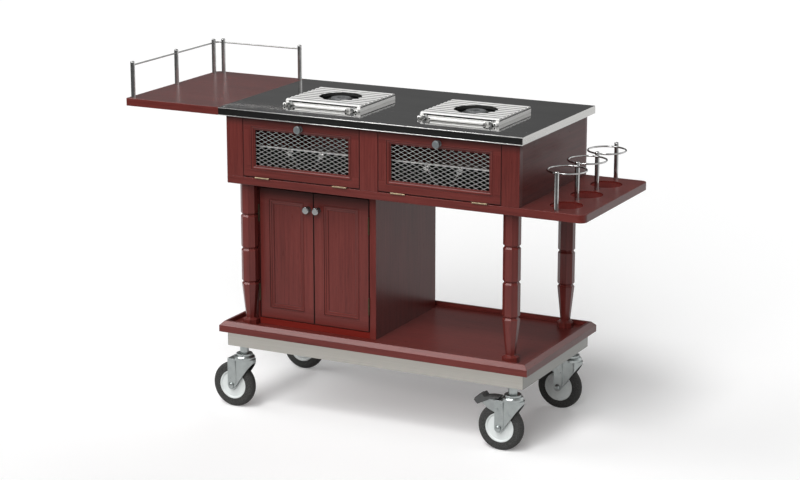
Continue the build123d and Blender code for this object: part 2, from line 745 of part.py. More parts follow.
# Chassis: four folded rails, flanged under the tray, and a plate in each corner
rail_x = [x_mid - chassis_len / 2, x_mid + chassis_len / 2]
rail_y = [y_mid - chassis_d / 2, y_mid + chassis_d / 2]
with BuildPart() as long_rails:
    block(rail_x[0], rail_x[1], rail_y[0], rail_y[0] + sheet_t, z_chassis, z_base)
    block(rail_x[0], rail_x[1], rail_y[0], rail_y[0] + flange_w, z_base - sheet_t, z_base)
    mirror(about=Plane.XZ.offset(-y_mid))
with BuildPart() as end_rails:
    block(rail_x[0], rail_x[0] + sheet_t, rail_y[0] + sheet_t, rail_y[1] - sheet_t, z_chassis,
          z_base - sheet_t)
    block(rail_x[0], rail_x[0] + flange_w, rail_y[0] + flange_w, rail_y[1] - flange_w,
          z_base - sheet_t, z_base)
    mirror(about=Plane.YZ.offset(x_mid))
save(Compound(long_rails.part.solids() + end_rails.part.solids()), "chassis_rails")

stem_x = {"left": x_mid - stem_span_x / 2, "right": x_mid + stem_span_x / 2}
stem_y = {"front": y_mid - stem_span_y / 2, "back": y_mid + stem_span_y / 2}
stem_spots = {f"{row}_{hand}": (stem_x[hand], stem_y[row]) for row in stem_y for hand in stem_x}
with BuildPart() as castor_plates:
    block(rail_x[0] + sheet_t, stem_x["left"] + mount_plate_reach, rail_y[0] + sheet_t,
          stem_y["front"] + mount_plate_reach, z_chassis, z_chassis + mount_plate_t)
    mirror(about=Plane.YZ.offset(x_mid))
    mirror(about=Plane.XZ.offset(-y_mid))
    with Locations(*[(x, y, z_chassis + mount_plate_t) for x, y in stem_spots.values()]):
        Hole(swivel_r + seat_clear, mount_plate_t)
save(castor_plates.part, "castor_plates")

# Castor pieces are drawn about one stem and set out at the four corners
z_nut = z_chassis + mount_plate_t
with BuildPart() as stem:
    with BuildSketch(Plane.XZ):
        with BuildLine():
            Polyline((0, z_crown - face_gap - rivet_h), (rivet_r, z_crown - face_gap - rivet_h),
                     (rivet_r, z_crown - face_gap), (swivel_r, z_crown - face_gap), (swivel_r, z_stem),
                     (stem_r, z_stem), (stem_r, z_chassis), (swivel_r, z_chassis), (swivel_r, z_nut),
                     (nut_r, z_nut), (nut_r, z_nut + nut_h), (swivel_r, z_nut + nut_h),
                     (swivel_r, z_nut + nut_h + bolt_tail), (0, z_nut + nut_h + bolt_tail), close=True)
        make_face()
    revolve(axis=Axis.Z)
save(Compound([stem.part.solid().moved(Location((x, y, 0))) for x, y in stem_spots.values()]),
     "castor_stems")

fork_half_w = tyre_w / 2 + fork_gap + fork_t
nose_x = fork_nose + fork_half_w
cheek_x = -trail - cheek_r
nose_span = hypot(nose_x + trail, z_head - fork_nose_h - z_axle)
nose_angle = atan2(z_head - fork_nose_h - z_axle, nose_x + trail) - acos(cheek_r / nose_span)
tangent = (-trail + cheek_r * cos(nose_angle), z_axle + cheek_r * sin(nose_angle))
brake_x = -trail - brake_pin_back
z_brake = wheel_d - brake_pin_drop
stub_mid_y = fork_half_w - (fork_t + brake_stub) / 2
forks = {}
for kind in ("plain", "braked"):
    with BuildPart() as fork:
        with BuildSketch(Plane.XY.offset(z_axle - cheek_r)):
            with Locations(((cheek_x + fork_nose) / 2, 0)):
                Rectangle(fork_nose - cheek_x, 2 * fork_half_w)
            with Locations((fork_nose, 0)):
                Circle(fork_half_w)
        extrude(amount=z_head - z_axle + cheek_r)
        with BuildSketch(Plane.XY.offset(z_axle - cheek_r)):
            with Locations(((cheek_x + fork_nose) / 2 - fork_t, 0)):
                Rectangle(fork_nose - cheek_x + 2 * fork_t, 2 * (fork_half_w - fork_t))
            with Locations((fork_nose, 0)):
                Circle(fork_half_w - fork_t)
        extrude(amount=z_crown - z_axle + cheek_r, mode=Mode.SUBTRACT)
        with BuildSketch(Plane.XZ):
            Polygon((cheek_x, z_axle), (cheek_x, z_head), (nose_x, z_head), (nose_x, z_head - fork_nose_h),
                    tangent, (-trail, z_axle), align=None)
            with Locations((-trail, z_axle)):
                Circle(cheek_r)
        extrude(amount=fork_half_w, both=True, mode=Mode.INTERSECT)
        with BuildSketch(Plane.XZ):
            with BuildLine():
                Polyline((0, z_head), (head_r, z_head), (head_r, z_head + 0.4 * head_h),
                         (head_r - 4, z_head + 0.65 * head_h), (head_neck_r, z_head + 0.65 * head_h),
                         (head_neck_r, z_head + head_h), (0, z_head + head_h), close=True)
            make_face()
        revolve(axis=Axis.Z)
        with Locations((0, 0, z_head + head_h)):
            Hole(swivel_r + run_clear)
        with Locations((-trail, 0, z_axle)):
            Cylinder(axle_r, 2 * fork_half_w, rotation=(90, 0, 0))
        with Locations(*[(-trail, s * (fork_half_w + axle_head_h / 2), z_axle) for s in (-1, 1)]):
            Cylinder(axle_head_r, axle_head_h, rotation=(90, 0, 0))
        if kind == "braked":
            with Locations(*[(brake_x, s * stub_mid_y, z_brake) for s in (-1, 1)]):
                Cylinder(brake_pin_r, fork_t + brake_stub, rotation=(90, 0, 0))
            with Locations(*[(brake_x, s * (fork_half_w + brake_boss_h / 2), z_brake) for s in (-1, 1)]):
                Cylinder(brake_boss_r, brake_boss_h, rotation=(90, 0, 0))
    forks[kind] = fork.part

# Wheel, drawn about its own axle along Y
boss_half = tyre_w / 2 + fork_gap - knob_gap
rim_half = tyre_w / 2 - 1
bore_r = axle_r + run_clear
with BuildPart() as hub:
    with BuildSketch(Plane.XY):
        with BuildLine():
            Polyline((bore_r, 0), (bore_r, boss_half), (boss_r, boss_half),
                     (boss_r + 1, rim_half - hub_dish), (hub_r - 2 * hub_rim_w, rim_half - hub_rim_w),
                     (hub_r - hub_rim_w, rim_half), (hub_r, rim_half), (hub_r, 0), close=True)
        make_face()
        mirror(about=Plane.XZ)
    revolve(axis=Axis.Y)
with BuildPart() as tyre:
    with BuildSketch(Plane.XY) as tread:
        with Locations(((hub_r + wheel_d / 2) / 2, 0)):
            Rectangle(wheel_d / 2 - hub_r, tyre_w)
        fillet(tread.vertices().group_by(Axis.X)[-1], tyre_shoulder_r)
    revolve(axis=Axis.Y)

# Brake: a pressed lever on a stub in each cheek, with a foot pedal behind and a shoe over the tyre
ear_half = fork_half_w - fork_t - face_gap
ear_points = [(-46.5, 14.5), (-25, 25.8), (-4.5, 23), (6.5, 17.5), (6.5, -6), (-9.5, -8), (-28.5, 0)]
web_points = [(-46.5, 14.5), (-25, 25.8), (-9.5, 25.2), (-9.5, 23.2), (-24.5, 23.8), (-44.5, 13)]
shoe_points = [(-30.2, 13.6), (-41.3, 6.4), (-45, 12), (-30, 22)]
pedal_root = -head_r - 5 - brake_x
pedal_points = [(pedal_root, 31), (pedal_root, 33.5), (-10.5, 34), (-24.5, 33.5), (-40.5, 30.5), (-47, 39),
                (-52.5, 37), (-72.5, 19.5), (-61.5, 7), (-50.5, 13), (-44.5, 14), (-26.5, 24.8),
                (-8.5, 24.5), (-7.5, 31)]
brake_side = Plane((brake_x, 0, z_brake), x_dir=(1, 0, 0), z_dir=(0, -1, 0))
with BuildPart() as brake:
    for points, width in ((ear_points, 2 * ear_half), (pedal_points, pedal_w)):
        with BuildSketch(brake_side):
            Polygon(*points, align=None)
        extrude(amount=width / 2, both=True)
        if points is ear_points:
            with BuildSketch(brake_side):
                Polygon(*points, align=None)
            extrude(amount=ear_half - ear_t, both=True, mode=Mode.SUBTRACT)
    with BuildSketch(brake_side):
        Polygon(*web_points, align=None)
    extrude(amount=ear_half, both=True)
    with BuildSketch(brake_side):
        Polygon(*shoe_points, align=None)
    extrude(amount=shoe_w / 2, both=True)
    with Locations(Location((brake_x, 0, z_brake), (90, 0, 0))):
        Cylinder(brake_pin_r + run_clear, 2 * fork_half_w, mode=Mode.SUBTRACT)

for corner, (x, y) in stem_spots.items():
    braked = corner.endswith("right")
    at_stem = Location((x, y, 0))
    at_axle = Location((x - trail, y, z_axle))
    save(forks["braked" if braked else "plain"].moved(at_stem), f"fork_{corner}")
    save(hub.part.moved(at_axle), f"hub_{corner}")
    save(tyre.part.moved(at_axle), f"tyre_{corner}")
    if braked:
        save(brake.part.moved(at_stem), f"brake_{corner}")
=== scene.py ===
"""The looks of a flambe trolley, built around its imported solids: metres, +Z up, the front towards -Y."""

import math

import bpy
from mathutils import Matrix, Vector


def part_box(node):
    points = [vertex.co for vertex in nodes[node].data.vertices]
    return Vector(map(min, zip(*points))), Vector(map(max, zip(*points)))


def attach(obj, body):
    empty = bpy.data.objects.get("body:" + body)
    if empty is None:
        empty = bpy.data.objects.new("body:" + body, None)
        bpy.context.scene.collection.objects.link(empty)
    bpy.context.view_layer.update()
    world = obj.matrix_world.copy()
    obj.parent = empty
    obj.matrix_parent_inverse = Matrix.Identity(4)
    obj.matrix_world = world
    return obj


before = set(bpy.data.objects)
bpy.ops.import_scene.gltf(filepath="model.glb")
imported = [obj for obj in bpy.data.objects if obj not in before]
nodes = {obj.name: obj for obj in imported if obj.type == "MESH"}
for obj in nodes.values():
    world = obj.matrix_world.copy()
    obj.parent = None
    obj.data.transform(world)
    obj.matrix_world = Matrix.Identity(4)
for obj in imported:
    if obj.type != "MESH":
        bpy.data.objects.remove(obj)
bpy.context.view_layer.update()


# Castor ironwork: corner plates, stems with their nuts, and the pressed forks that swivel on the stems.
# All of it is steel with a bright zinc coat, which clouds a little and rounds every edge.

class Value:
    """A number or colour in a finish. Sums of values add the Math nodes that work them out."""

    def __init__(self, finish, socket):
        self.finish = finish
        self.socket = socket

    def sum(self, operation, *others):
        return self.finish.node("ShaderNodeMath", {"operation": operation}, (self, *others))

    def __add__(self, other):
        return self.sum("ADD", other)

    def __sub__(self, other):
        return self.sum("SUBTRACT", other)

    def __rsub__(self, other):
        return self * -1 + other

    def __mul__(self, other):
        return self.sum("MULTIPLY", other)

    def __gt__(self, other):
        return self.sum("GREATER_THAN", other)

    def __lt__(self, other):
        return self.sum("LESS_THAN", other)

    def __abs__(self):
        return self.sum("ABSOLUTE")

    def larger(self, other):
        return self.sum("MAXIMUM", other)

    def smaller(self, other):
        return self.sum("MINIMUM", other)

    __radd__ = __add__
    __rmul__ = __mul__


class Finish:
    """A material on one Principled shader, whose fixed values stand on the shader's own sockets."""

    def __init__(self, name, fixed):
        self.material = bpy.data.materials.new(name)
        self.material.use_nodes = True
        self.tree = self.material.node_tree
        self.shader = self.tree.nodes["Principled BSDF"]
        for socket, value in fixed.items():
            self.feed(socket, value)
        self.place = self.node("ShaderNodeTexCoord", out="Object")

    def set(self, socket, value):
        if isinstance(value, Value):
            self.tree.links.new(value.socket, socket)
        elif socket.type == "RGBA":
            socket.default_value = (*value, 1.0)
        else:
            socket.default_value = value

    def feed(self, socket, value):
        self.set(self.shader.inputs[socket], value)

    def node(self, kind, settings=None, sockets=(), out=0):
        made = self.tree.nodes.new(kind)
        for setting, value in (settings or {}).items():
            if setting != "stops":
                setattr(made, setting, value)
                continue
            ramp = made.color_ramp.elements
            while len(ramp) < len(value):
                ramp.new(1.0)
            for index, (position, colour) in enumerate(value):
                ramp[index].position = position
                ramp[index].color = (*colour, 1.0)
        pairs = sockets.items() if isinstance(sockets, dict) else enumerate(sockets)
        for socket, value in pairs:
            self.set(made.inputs[socket], value)
        return Value(self, made.outputs[out])

    def axis(self, letter):
        return self.node("ShaderNodeSeparateXYZ", {}, (self.place,), out=letter)

    def noise(self, scale, stretch=(1, 1, 1), detail=3.0):
        """Cloudy noise from 0 to 1, drawn out along an axis by a small stretch there."""
        place = self.node("ShaderNodeVectorMath", {"operation": "MULTIPLY"}, (self.place, stretch))
        return self.node("ShaderNodeTexNoise", {}, {"Vector": place, "Scale": scale, "Detail": detail})

    def between(self, value, low, high):
        """0 up to low and 1 from high on, smooth between them."""
        return self.node("ShaderNodeMapRange", {"interpolation_type": "SMOOTHSTEP"},
                         {"Value": value, "From Min": low, "From Max": high})

    def ramp(self, value, *stops):
        return self.node("ShaderNodeValToRGB", {"stops": stops}, (value,))

    def tones(self, cloud, dull, bright):
        """A colour from dull to bright, as a cloud of noise goes over its usual range."""
        return self.ramp(cloud, (0.3, dull), (0.7, bright))

    def mix(self, share, first, second):
        return self.node("ShaderNodeMix", {"data_type": "RGBA"}, {0: share, 6: first, 7: second}, out=2)

    def relief(self, height, depth, edge):
        """Raises the surface by height times depth, on edges that are rounded by the radius edge."""
        round_edge = self.node("ShaderNodeBevel", {"samples": 4}, (edge,))
        self.feed("Normal", self.node("ShaderNodeBump", {}, {"Height": height, "Distance": depth,
                                                             "Normal": round_edge}))

    def on(self, *names):
        for name in names:
            nodes[name].data.materials.clear()
            nodes[name].data.materials.append(self.material)


corners = ("front_left", "front_right", "back_left", "back_right")
zinc = Finish("bright_zinc", {"Metallic": 1.0})
zinc_cloud = zinc.noise(60.0)
zinc_grain = zinc.noise(1500.0)
zinc.feed("Base Color", zinc.tones(zinc_cloud, (0.325, 0.350, 0.347), (0.385, 0.412, 0.406)))
zinc.feed("Roughness", 0.24 + 0.10 * zinc_cloud)
zinc.relief(zinc_grain, depth=0.00003, edge=0.0008)
zinc.on("castor_plates", "castor_stems", *[f"fork_{corner}" for corner in corners])


# Axle caps: domed nuts with a skirt on the ends of the wheel bolts, one on each side of a fork.
# They are cold headed from the same zinc coated steel.

def added(name):
    """The primitive that was just added, named, with its place and size in its mesh."""
    piece = bpy.context.object
    piece.name = name
    piece.data.name = name
    bpy.ops.object.transform_apply(location=True, rotation=True, scale=True)
    return piece


def pick(piece, test):
    """Opens the piece for editing with only those faces selected whose centre and normal pass the test."""
    bpy.ops.object.mode_set(mode="OBJECT")
    bpy.context.tool_settings.mesh_select_mode = (False, False, True)
    for part in (piece.data.vertices, piece.data.edges):
        for item in part:
            item.select = False
    for face in piece.data.polygons:
        face.select = test(face.center, face.normal)
    bpy.ops.object.mode_set(mode="EDIT")


def cut(piece, at, normal, **keep):
    """Bisects the whole piece by a plane."""
    pick(piece, lambda centre, face_normal: True)
    bpy.ops.mesh.bisect(plane_co=at, plane_no=normal, **keep)


def closed(piece, finish, angle=35.0):
    """Ends the editing: doubles merged, faces outwards, smooth up to an angle, and the finish put on."""
    bpy.ops.object.mode_set(mode="EDIT")
    bpy.ops.mesh.select_all(action="SELECT")
    bpy.ops.mesh.remove_doubles(threshold=0.00001)
    bpy.ops.mesh.normals_make_consistent(inside=False)
    bpy.ops.object.mode_set(mode="OBJECT")
    bpy.ops.object.shade_smooth_by_angle(angle=math.radians(angle))
    piece.data.materials.append(finish.material)
    return piece


def copied(piece, name, place):
    """A copy with its own mesh, put in place by a matrix."""
    twin = piece.copy()
    twin.data = piece.data.copy()
    twin.name = name
    twin.data.name = name
    twin.data.transform(place)
    bpy.context.scene.collection.objects.link(twin)
    return twin


def middle(name):
    low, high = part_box(name)
    return (low + high) / 2


cap_r = 0.0085
cap_flat = 0.55
cap_skirt = 0.0026
cap_flare = 1.12
cheek_half = 0.022
bpy.ops.object.select_all(action="DESELECT")
bpy.ops.mesh.primitive_uv_sphere_add(segments=32, ring_count=16, radius=cap_r, rotation=(math.pi / 2, 0, 0))
cap = added("axle_cap")
pick(cap, lambda centre, normal: True)
bpy.ops.transform.resize(value=(1, cap_flat, 1))
cut(cap, (0, 0, 0), (0, 1, 0), use_fill=True, clear_outer=True)
pick(cap, lambda centre, normal: normal.y > 0.9)
bpy.ops.mesh.extrude_region_move(TRANSFORM_OT_translate={"value": (0, cap_skirt, 0)})
bpy.ops.transform.resize(value=(cap_flare, 1, cap_flare))
closed(cap, zinc)
for corner in corners:
    axle = middle(f"hub_{corner}")
    for side, turn in (("outer", 0.0), ("inner", math.pi)):
        seat = axle + Vector((0, -(cheek_half + cap_skirt) * math.cos(turn), 0))
        end = copied(cap, f"axle_cap_{corner}_{side}",
                     Matrix.Translation(seat) @ Matrix.Rotation(turn, 4, "Z"))
        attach(end, f"castor_{corner}")
bpy.data.objects.remove(cap)


# Fork ribs: half round ribs pressed up each cheek of a fork from the axle to the crown, to stiffen it.
# They are of one sheet with the fork and have its zinc coat.

def drawn_in(piece, axis, width, rise):
    """Draws in both ends of a rod or nut along an axis, by a chamfer of this width and rise."""
    for way in (-1, 1):
        pick(piece, lambda centre, normal: normal["xyz".index(axis)] * way > 0.9)
        bpy.ops.mesh.inset(thickness=width, depth=rise)


rib_r = 0.0018
rib_end_w = 0.4 * rib_r
rib_end_h = 0.5 * rib_r
rib_sunk = 0.3 * rib_r
rib_past_axle = 0.015
rib_from = 0.0715
rib_below_head = 0.0205
rib_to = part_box("fork_front_left")[1].z - rib_below_head
bpy.ops.object.select_all(action="DESELECT")
bpy.ops.mesh.primitive_cylinder_add(vertices=24, radius=rib_r, depth=rib_to - rib_from - rib_r)
rib = added("fork_rib")
drawn_in(rib, "z", rib_end_w, rib_end_h)
cut(rib, (0, rib_sunk, 0), (0, 1, 0), use_fill=True, clear_outer=True)
closed(rib, zinc, angle=50.0)
for corner in corners:
    axle = middle(f"hub_{corner}")
    for side, turn in (("outer", 0.0), ("inner", math.pi)):
        seat = Vector((axle.x + rib_past_axle, axle.y - cheek_half * math.cos(turn), (rib_from + rib_to) / 2))
        pressed = copied(rib, f"fork_rib_{corner}_{side}",
                         Matrix.Translation(seat) @ Matrix.Rotation(turn, 4, "Z"))
        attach(pressed, f"castor_{corner}")
bpy.data.objects.remove(rib)


# Castor hubs: dished centres moulded in pale grey plastic, turning on the bolt.
# The moulding has a fine spark grain and a slight satin shine.

hub_plastic = Finish("pale_grey_plastic", {"Specular IOR Level": 0.4})
hub_cloud = hub_plastic.noise(40.0)
hub_plastic.feed("Base Color", hub_plastic.tones(hub_cloud, (0.61, 0.64, 0.63), (0.67, 0.70, 0.69)))
hub_plastic.feed("Roughness", 0.34 + 0.12 * hub_cloud)
hub_plastic.relief(hub_plastic.noise(2600.0), depth=0.00004, edge=0.0008)
hub_plastic.on(*[f"hub_{corner}" for corner in corners])


# Tyres: solid dark grey rubber moulded round the hubs, with a fine parting line round the middle.
# The rubber is dull, and a little paler where the floor has scuffed the tread.

rubber = Finish("grey_rubber", {"Specular IOR Level": 0.35})
line_core = 0.0002
line_half = 0.0007
wheel_y = middle("castor_plates").y
wheel_dy = middle("tyre_back_left").y - wheel_y
from_line = abs(abs(rubber.axis("Y") - wheel_y) - wheel_dy)
scuffs = rubber.noise(420.0, detail=6.0)
rubber.feed("Base Color", rubber.ramp(scuffs, (0.36, (0.018, 0.018, 0.017)), (0.66, (0.056, 0.056, 0.054))))
rubber.feed("Roughness", 0.62 + 0.2 * scuffs)
parting_line = 1 - rubber.between(from_line, line_core, line_half)
rubber.relief(rubber.noise(1800.0) + 2.0 * parting_line, depth=0.00012, edge=0.0008)
rubber.on(*[f"tyre_{corner}" for corner in corners])


# Foot brakes of the right hand castors: a zinc coated lever under a dark moulded pedal.
# The pedal is the stretch above the lever's top line and beyond its rear end.

brake = Finish("brake_lever_and_pedal", {})
pin = Vector((-0.0395, 0.0, 0.1215))
stem_in = 0.035
stem_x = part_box("fork_front_right")[1].x - stem_in
lever_x = brake.axis("X") - (stem_x + pin.x)
lever_z = brake.axis("Z") - pin.z
lever_top = 0.0259
lever_rise = 0.53
lever_end = -0.0463
rise_from = 0.025
slope = ((lever_x + rise_from) * lever_rise).smaller(0.0)
pedal = (lever_z - slope > lever_top).larger(lever_x < lever_end)
brake_cloud = brake.noise(60.0)
brake_grain = brake.noise(1600.0)
lever_zinc = brake.tones(brake_cloud, (0.315, 0.335, 0.335), (0.375, 0.395, 0.39))
pedal_plastic = brake.tones(brake_cloud, (0.042, 0.043, 0.043), (0.062, 0.063, 0.063))
brake.feed("Base Color", brake.mix(pedal, lever_zinc, pedal_plastic))
brake.feed("Metallic", 1 - pedal)
brake.feed("Roughness", 0.28 + 0.14 * brake_cloud + 0.1 * pedal)
brake.relief(brake_grain * (0.3 + pedal), depth=0.00008, edge=0.0012)
brake.on("brake_front_right", "brake_back_right")


# Pedal treads: ribbed rubber pads on the sloping toe of each brake pedal, where the shoe presses.
# Each is moulded in one piece and glued into the toe.

tread_len = 0.0225
tread_w = 0.029
tread_t = 0.0012
rib_h = 0.0009
rib_count = 5
rib_draft = (0.985, 0.96, 1)
toe = Vector((-0.0625, 0.0, 0.02825))
toe_rise = 0.0175
toe_run = 0.020
toe_slope = math.atan2(toe_rise, toe_run)
pad_rubber = Finish("black_rubber", {"Specular IOR Level": 0.35})
pad_grain = pad_rubber.noise(900.0, detail=5.0)
pad_rubber.feed("Base Color", pad_rubber.tones(pad_grain, (0.020, 0.020, 0.020), (0.036, 0.036, 0.035)))
pad_rubber.feed("Roughness", 0.55 + 0.25 * pad_grain)
pad_rubber.relief(pad_grain, depth=0.00006, edge=0.0003)
bpy.ops.object.select_all(action="DESELECT")
bpy.ops.mesh.primitive_cube_add(size=1.0, scale=(tread_len, tread_w, tread_t))
tread = added("pedal_tread")
strip = tread_len / (2 * rib_count + 1)
for i in range(1, 2 * rib_count + 1):
    cut(tread, (i * strip - tread_len / 2, 0, 0), (1, 0, 0))
pick(tread, lambda centre, normal: normal.z > 0.9 and int((centre.x + tread_len / 2) / strip) % 2 == 1)
bpy.ops.mesh.extrude_region_move(TRANSFORM_OT_translate={"value": (0, 0, rib_h)})
bpy.ops.transform.resize(value=rib_draft)
closed(tread, pad_rubber)
for corner in ("front_right", "back_right"):
    seat = Vector((stem_x, middle(f"hub_{corner}").y, 0)) + pin + toe
    turn = Matrix.Rotation(-toe_slope, 4, "Y")
    pad = copied(tread, f"pedal_tread_{corner}",
                 Matrix.Translation(seat) @ turn @ Matrix.Translation((0, 0, tread_t / 2)))
    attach(pad, f"brake_{corner}")
bpy.data.objects.remove(tread)


# Chassis: four rails folded from steel sheet and welded at the corners, brushed along their length.
# The end rails are brushed across, so the brushing turns at the corner seam, and they are painted darker as
# shade.

def off_centre(finish, name, letter):
    """How far a point is from the middle of a node along one axis, less half the node's length there."""
    low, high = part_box(name)
    index = "XYZ".index(letter)
    return abs(finish.axis(letter) - (low[index] + high[index]) / 2) - (high[index] - low[index]) / 2


chassis = Finish("brushed_chassis_steel", {"Metallic": 1.0})
end_in = 0.0015
at_end = off_centre(chassis, "chassis_rails", "X") > -end_in
brush_x = chassis.noise(1.0, (6.0, 1500.0, 1500.0), detail=2.0)
brush_y = chassis.noise(1.0, (1500.0, 6.0, 1500.0), detail=2.0)
brushed = brush_x * (1 - at_end) + brush_y * at_end
handled = chassis.noise(7.0)
long_rail = chassis.tones(brushed, (0.455, 0.437, 0.402), (0.525, 0.507, 0.468))
# The end rails are painted darker, as shade on the end faces.
shaded_end_rail = chassis.tones(brushed, (0.225, 0.225, 0.214), (0.270, 0.270, 0.257))
chassis.feed("Base Color", chassis.mix(at_end, long_rail, shaded_end_rail))
chassis.feed("Roughness", 0.34 + 0.1 * brushed + 0.08 * handled)
chassis.relief(brushed, depth=0.00003, edge=0.0012)
chassis.on("chassis_rails")


# Tray: a solid mahogany board on the chassis, with a sloping lip mitred round its edge.
# Both are stained a deep red brown and lacquered to a satin shine.

stretch_along = {"X": (0.035, 1, 1), "Y": (1, 0.035, 1), "Z": (1, 1, 0.035)}
wood_dark = (0.070, 0.0115, 0.0095)
wood_mid = (0.120, 0.0210, 0.0175)
wood_light = (0.160, 0.0320, 0.0265)
wood_pore = (0.030, 0.0060, 0.0052)


class Mahogany(Finish):
    """Stained mahogany under a satin lacquer, its grain along one axis and, where a mask says so, another."""

    def __init__(self, name, shine=0.30):
        super().__init__(name, {"Specular IOR Level": shine})

    def grain(self, along):
        stretch = stretch_along[along]
        figure = self.noise(10.0, [0.25 if s < 1 else 1 for s in stretch])
        bands = self.noise(150.0, stretch)
        fibres = self.noise(700.0, stretch)
        return 0.34 * figure + 0.36 * bands + 0.30 * fibres, fibres, self.between(fibres, 0.64, 0.74)

    # The mask and colour for wear also carry painted shade, under overhangs, in gaps and in moulding grooves.
    def lacquered(self, along, across=None, mask=None, wear_and_shade=0.0, wear_and_shade_colour=wood_mid):
        tone, fibres, pores = self.grain(along)
        if across:
            other = self.grain(across)
            tone, fibres, pores = [a * (1 - mask) + b * mask for a, b in zip((tone, fibres, pores), other)]
        colour = self.ramp(tone, (0.32, wood_dark), (0.5, wood_mid), (0.68, wood_light))
        self.feed("Base Color", self.mix(wear_and_shade, self.mix(0.55 * pores, colour, wood_pore), wear_and_shade_colour))
        self.feed("Roughness", 0.24 + 0.12 * fibres + 0.5 * wear_and_shade)
        self.relief(0.5 * fibres - pores, depth=0.00005, edge=0.0011)
        return self


wood_along_x = Mahogany("mahogany_lengthwise").lacquered("X")
wood_along_x.on("tray_floor")
wood_lip = Mahogany("mahogany_mitred_lip", shine=0.48)
wood_lip.lacquered("X", "Y", off_centre(wood_lip, "tray_lip", "X") > off_centre(wood_lip, "tray_lip", "Y"))
wood_lip.on("tray_lip")


# Legs: four octagonal mahogany posts with turned rings and a tapered foot, pegged into the tray.
# The grain runs up the leg.

Mahogany("mahogany_leg", shine=0.36).lacquered("Z").on("front_legs", "back_legs")


# Cupboard: upright mahogany sides and back round two boards, between the left hand legs.
# The left side is notched round the front leg, and each door is a frame of stiles and rails
# round a sunk field, with shade painted on it under the board above and shadow painted along its edges.

# The colour of painted shade on the wood: under overhangs, in gaps and in the grooves of the mouldings.
painted_shade_wood = (0.018, 0.0085, 0.0075)


def shade_under_board(finish, name, depth):
    """Painted shade under the board above a node: how strong it is, most at the top and none below a depth.
    """
    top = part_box(name)[1].z
    return 0.75 * finish.between(finish.axis("Z"), top - depth, top)


def off_either(finish, left, right):
    """off_centre along X for whichever of two like nodes side by side a point is on."""
    low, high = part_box(left)
    far_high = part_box(right)[1]
    apart = far_high.x - high.x
    from_middle = abs(finish.axis("X") - (low.x + far_high.x) / 2)
    return abs(from_middle - apart / 2) - (high.x - low.x) / 2


def edge_shadow(finish, left, right, width):
    """Painted shadow in the gaps along the edges of two like doors or flaps, over a width."""
    edge = off_either(finish, left, right).larger(off_centre(finish, left, "Z"))
    return 0.92 * finish.between(edge, -width, -0.4 * width)


def framed(name, left, right, rail, shade_depth, edge):
    """Mahogany on two like frames of stiles and rails, with painted shade down from the top and painted
    shadow in from the edges.
    """
    finish = Mahogany(name)
    painted_shade = shade_under_board(finish, left, shade_depth).larger(edge_shadow(finish, left, right, edge))
    finish.lacquered("Z", "X", off_centre(finish, left, "Z") > -rail, wear_and_shade=painted_shade, wear_and_shade_colour=painted_shade_wood)
    finish.on(left, right)


deck_red = (0.15, 0.010, 0.006)
deck_wear = 0.7
side_wood = Mahogany("mahogany_cupboard_side", shine=0.16)
leg_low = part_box("front_legs")[0]
leg_mid = middle("front_legs")
leg_r = leg_mid.y - leg_low.y
notch_gap = 0.0015
from_leg = side_wood.axis("X") - (leg_low.x + leg_r) + side_wood.axis("Y") - leg_mid.y
notch = from_leg < math.sqrt(2) * (leg_r + notch_gap)
side_wood.lacquered("Z", wear_and_shade=notch, wear_and_shade_colour=wood_dark).on("cupboard_sides", "cupboard_back")
deck_wood = Mahogany("mahogany_deck", shine=0.10)
deck_wood.lacquered("X", wear_and_shade=deck_wear, wear_and_shade_colour=deck_red).on("cupboard_decks")
door_rail = 0.045
# Painted shade on the doors, down from the top under the shelf board and as shadow along their edges.
door_shade_depth = 0.045
door_edge_shadow = 0.0022
framed("mahogany_door", "cupboard_door_left", "cupboard_door_right", door_rail, door_shade_depth, door_edge_shadow)


# Door mouldings: mitred mahogany strips in the step between each door's frame and its field.
# A bead, a quirk and two rounds are run along them, and they are pinned and lacquered with the door.

def moulding(name, low, high, profile, back):
    """A mitred frame on a front face, its profile run inwards from the outer edge as (width, rise) steps."""
    bpy.ops.object.select_all(action="DESELECT")
    bpy.ops.mesh.primitive_plane_add(size=1.0, rotation=(math.pi / 2, 0, 0))
    strip = added(name)
    pick(strip, lambda centre, normal: True)
    bpy.ops.transform.resize(value=(high.x - low.x, 1, high.z - low.z))
    bpy.ops.transform.translate(value=((low.x + high.x) / 2, low.y, (low.z + high.z) / 2))
    for width, rise in profile:
        bpy.ops.mesh.inset(thickness=width, depth=rise)
    bpy.ops.mesh.delete(type="FACE")
    bpy.ops.object.mode_set(mode="OBJECT")
    shell = strip.modifiers.new("back", "SOLIDIFY")
    shell.thickness = back
    shell.offset = -1.0
    bpy.ops.object.modifier_apply(modifier=shell.name)
    return strip


def mitred(name, node, inwards, quirk_shading):
    """Mahogany for a moulding round a node's middle, its grain turning at the mitres.

    Shade is painted dark along each quirk, given as (how far in, half its width).
    """
    finish = Mahogany(name)
    across = off_centre(finish, node, "X") + inwards.x
    upright = off_centre(finish, node, "Z") + inwards.z
    run = across.larger(upright)
    painted_shade = 0.0
    for quirk_in, half in quirk_shading:
        painted_shade = painted_shade + 0.9 * (1 - finish.between(abs(run + quirk_in), 0.4 * half, half))
    return finish.lacquered("Z", "X", upright > across, wear_and_shade=painted_shade, wear_and_shade_colour=painted_shade_wood)


mould_angle = 25.0
door_mould_in = 0.0305
door_mould_back = 0.0012
door_profile = ((0.0006, 0.0009), (0.0014, 0.0002), (0.0008, -0.0013), (0.0006, 0.0), (0.0002, 0.0005),
                (0.0024, -0.0006), (0.0020, -0.0010), (0.0006, -0.0006), (0.0020, -0.0003), (0.0020, -0.0009),
                (0.0008, -0.0003), (0.0018, -0.0012))
